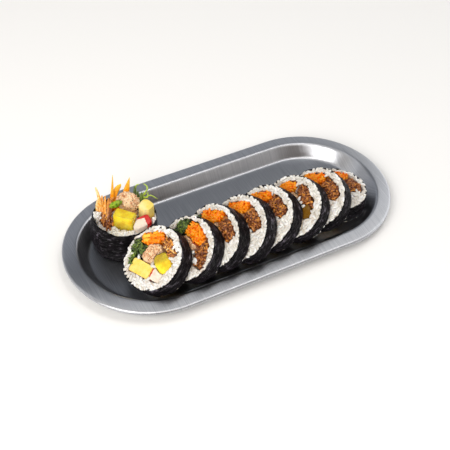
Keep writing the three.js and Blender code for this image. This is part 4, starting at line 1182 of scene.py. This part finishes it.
a = np.linspace(0, 2 * math.pi, 40, endpoint=False)
rings = []
for level, shares in ((0.5, LEAF_SHARES), (-0.5, LEAF_SHARES[::-1])):
    for share in shares:
        u, v = share * np.cos(a), share * np.sin(a) * np.abs(np.sin(a)) ** 0.4
        edge = 1 + 0.05 * np.sin(7 * a) * share
        folded = LEAF["fold"] * (0.4 - np.abs(v) + 0.25 * np.sin(5 * u + 1)) * (1 - 0.3 * u)
        lift = folded - LEAF["arch"] * u * u + level * LEAF["thick"]
        rings.append(np.stack([u * edge * LEAF["w"] / 2, v * edge * LEAF["h"] / 2, lift], 1))
points, faces = loft(rings)
turn = Matrix.Rotation(math.radians(LEAF["turn"]), 3, "Y")
lean = Matrix.Rotation(math.radians(LEAF["lean"]), 3, "X")
points = points @ np.array(turn @ lean).T + [LEAF["x"], LEAF["y"], LEAF["z"]]
leaf_part = placed(ROLLS[-1], (points, [face[::-1] for face in faces], 0.0))
make_piece("leaf", [leaf_part], fresh_leaf, ["end_leaf"])

# === Studio ============================================================================================
# Pale seamless floor, a soft key light from the left, a small one overhead that the steel's bends mirror,
# surroundings that are pale in front and dark behind, and a camera at the photograph's angle.
CAMERA_AZIMUTH, CAMERA_HEIGHT, CAMERA_ROLL = -30.15, 44.91, 2.47
CAMERA_DISTANCE, CAMERA_LENS = 0.8105, 80.55
TARGET = Vector((-0.0103, -0.00755, 0.01167))
FLOOR_PALE = "#fbfbfa"
FLOOR_SIZE, FLOOR_DROP = 6.0, 0.0002
# Place, width, depth, power and colour of each lamp.
LAMPS = {"key": ((-0.81, -0.59, 0.83), 0.8, 0.8, 12.0, (1.0, 0.97, 0.93)),
         "overhead": ((0.35, -0.1, 1.2), 0.5, 0.35, 2.2, (1.0, 1.0, 1.0))}

azimuth, height, twist = (math.radians(v) for v in (CAMERA_AZIMUTH, CAMERA_HEIGHT, CAMERA_ROLL))
back = Vector((math.sin(azimuth) * math.cos(height), -math.cos(azimuth) * math.cos(height), math.sin(height)))
right = Vector((math.cos(azimuth), math.sin(azimuth), 0))
up = back.cross(right)
right, up = right * math.cos(twist) + up * math.sin(twist), up * math.cos(twist) - right * math.sin(twist)
camera = bpy.data.objects.new("camera", bpy.data.cameras.new("camera"))
camera.data.lens = CAMERA_LENS
camera.data.clip_end = 20
bpy.context.scene.collection.objects.link(camera)
facing = Matrix((right, up, back)).transposed().to_4x4()
camera.matrix_world = Matrix.Translation(TARGET + back * CAMERA_DISTANCE) @ facing
bpy.context.scene.camera = camera

half = FLOOR_SIZE / 2
floor_mesh = bpy.data.meshes.new("floor")
corners = [(-half, -half, 0), (half, -half, 0), (half, half, 0), (-half, half, 0)]
floor_mesh.from_pydata(corners, [], [(0, 1, 2, 3)])
# White paper: matt, with next to no gloss.
pale_floor, tree, shader = new_finish("matt white paper floor")
give(shader, {"Base Color": linear(FLOOR_PALE), "Roughness": 0.9})
floor_mesh.materials.append(pale_floor)
floor = bpy.data.objects.new("floor", floor_mesh)
floor.location.z = -FLOOR_DROP
bpy.context.scene.collection.objects.link(floor)

for name, (place, width, depth, power, colour) in LAMPS.items():
    lamp = bpy.data.objects.new(name, bpy.data.lights.new(name, "AREA"))
    lamp.data.shape = "RECTANGLE"
    lamp.data.size, lamp.data.size_y = width, depth
    lamp.data.energy, lamp.data.color = power, colour
    lamp.location = place
    lamp.rotation_euler = (Vector((0, 0, 0.02)) - Vector(place)).to_track_quat("-Z", "Y").to_euler()
    bpy.context.scene.collection.objects.link(lamp)

# Surroundings by how far a direction points to the back (y), brightened far to the right and left (x).
world = bpy.data.worlds.new("studio")
bpy.context.scene.world = world
world.use_nodes = True
tree = world.node_tree
way = add(tree, "SeparateXYZ", {"Vector": add(tree, "TexCoord")["Generated"]})
behind = add(tree, "MapRange", {"Value": way["Y"], "From Min": -1})["Result"]
walls = add(tree, "ValToRGB", {"Fac": behind}, stops=[
    (0.0, "#857a72"), (1.0, "#aaadb3"), (0.28, "#8b8178"), (0.55, "#d8d4ce"), (0.70, "#f4f4f4"),
    (0.73, "#dcdcde"), (0.775, "#686c72"), (0.835, "#686c72"), (0.87, "#a7aab0")])["Color"]
right_lift = add(tree, "MapRange", {
    "Value": way["X"], "From Min": 0.5, "From Max": 0.8, "To Max": 1.6})["Result"]
left_lift = add(tree, "MapRange", {
    "Value": way["X"], "From Min": -0.35, "From Max": -0.6, "To Max": 0.55})["Result"]
lift = add(tree, "Math", {0: right_lift, 1: left_lift}, operation="ADD")[0]
surroundings = add(tree, "Mix", {0: 1.0, 6: walls, 7: lift}, data_type="RGBA", blend_type="LIGHTEN")[2]
give(tree.nodes["Background"], {"Color": surroundings})
bpy.context.scene.view_settings.view_transform = "Standard"
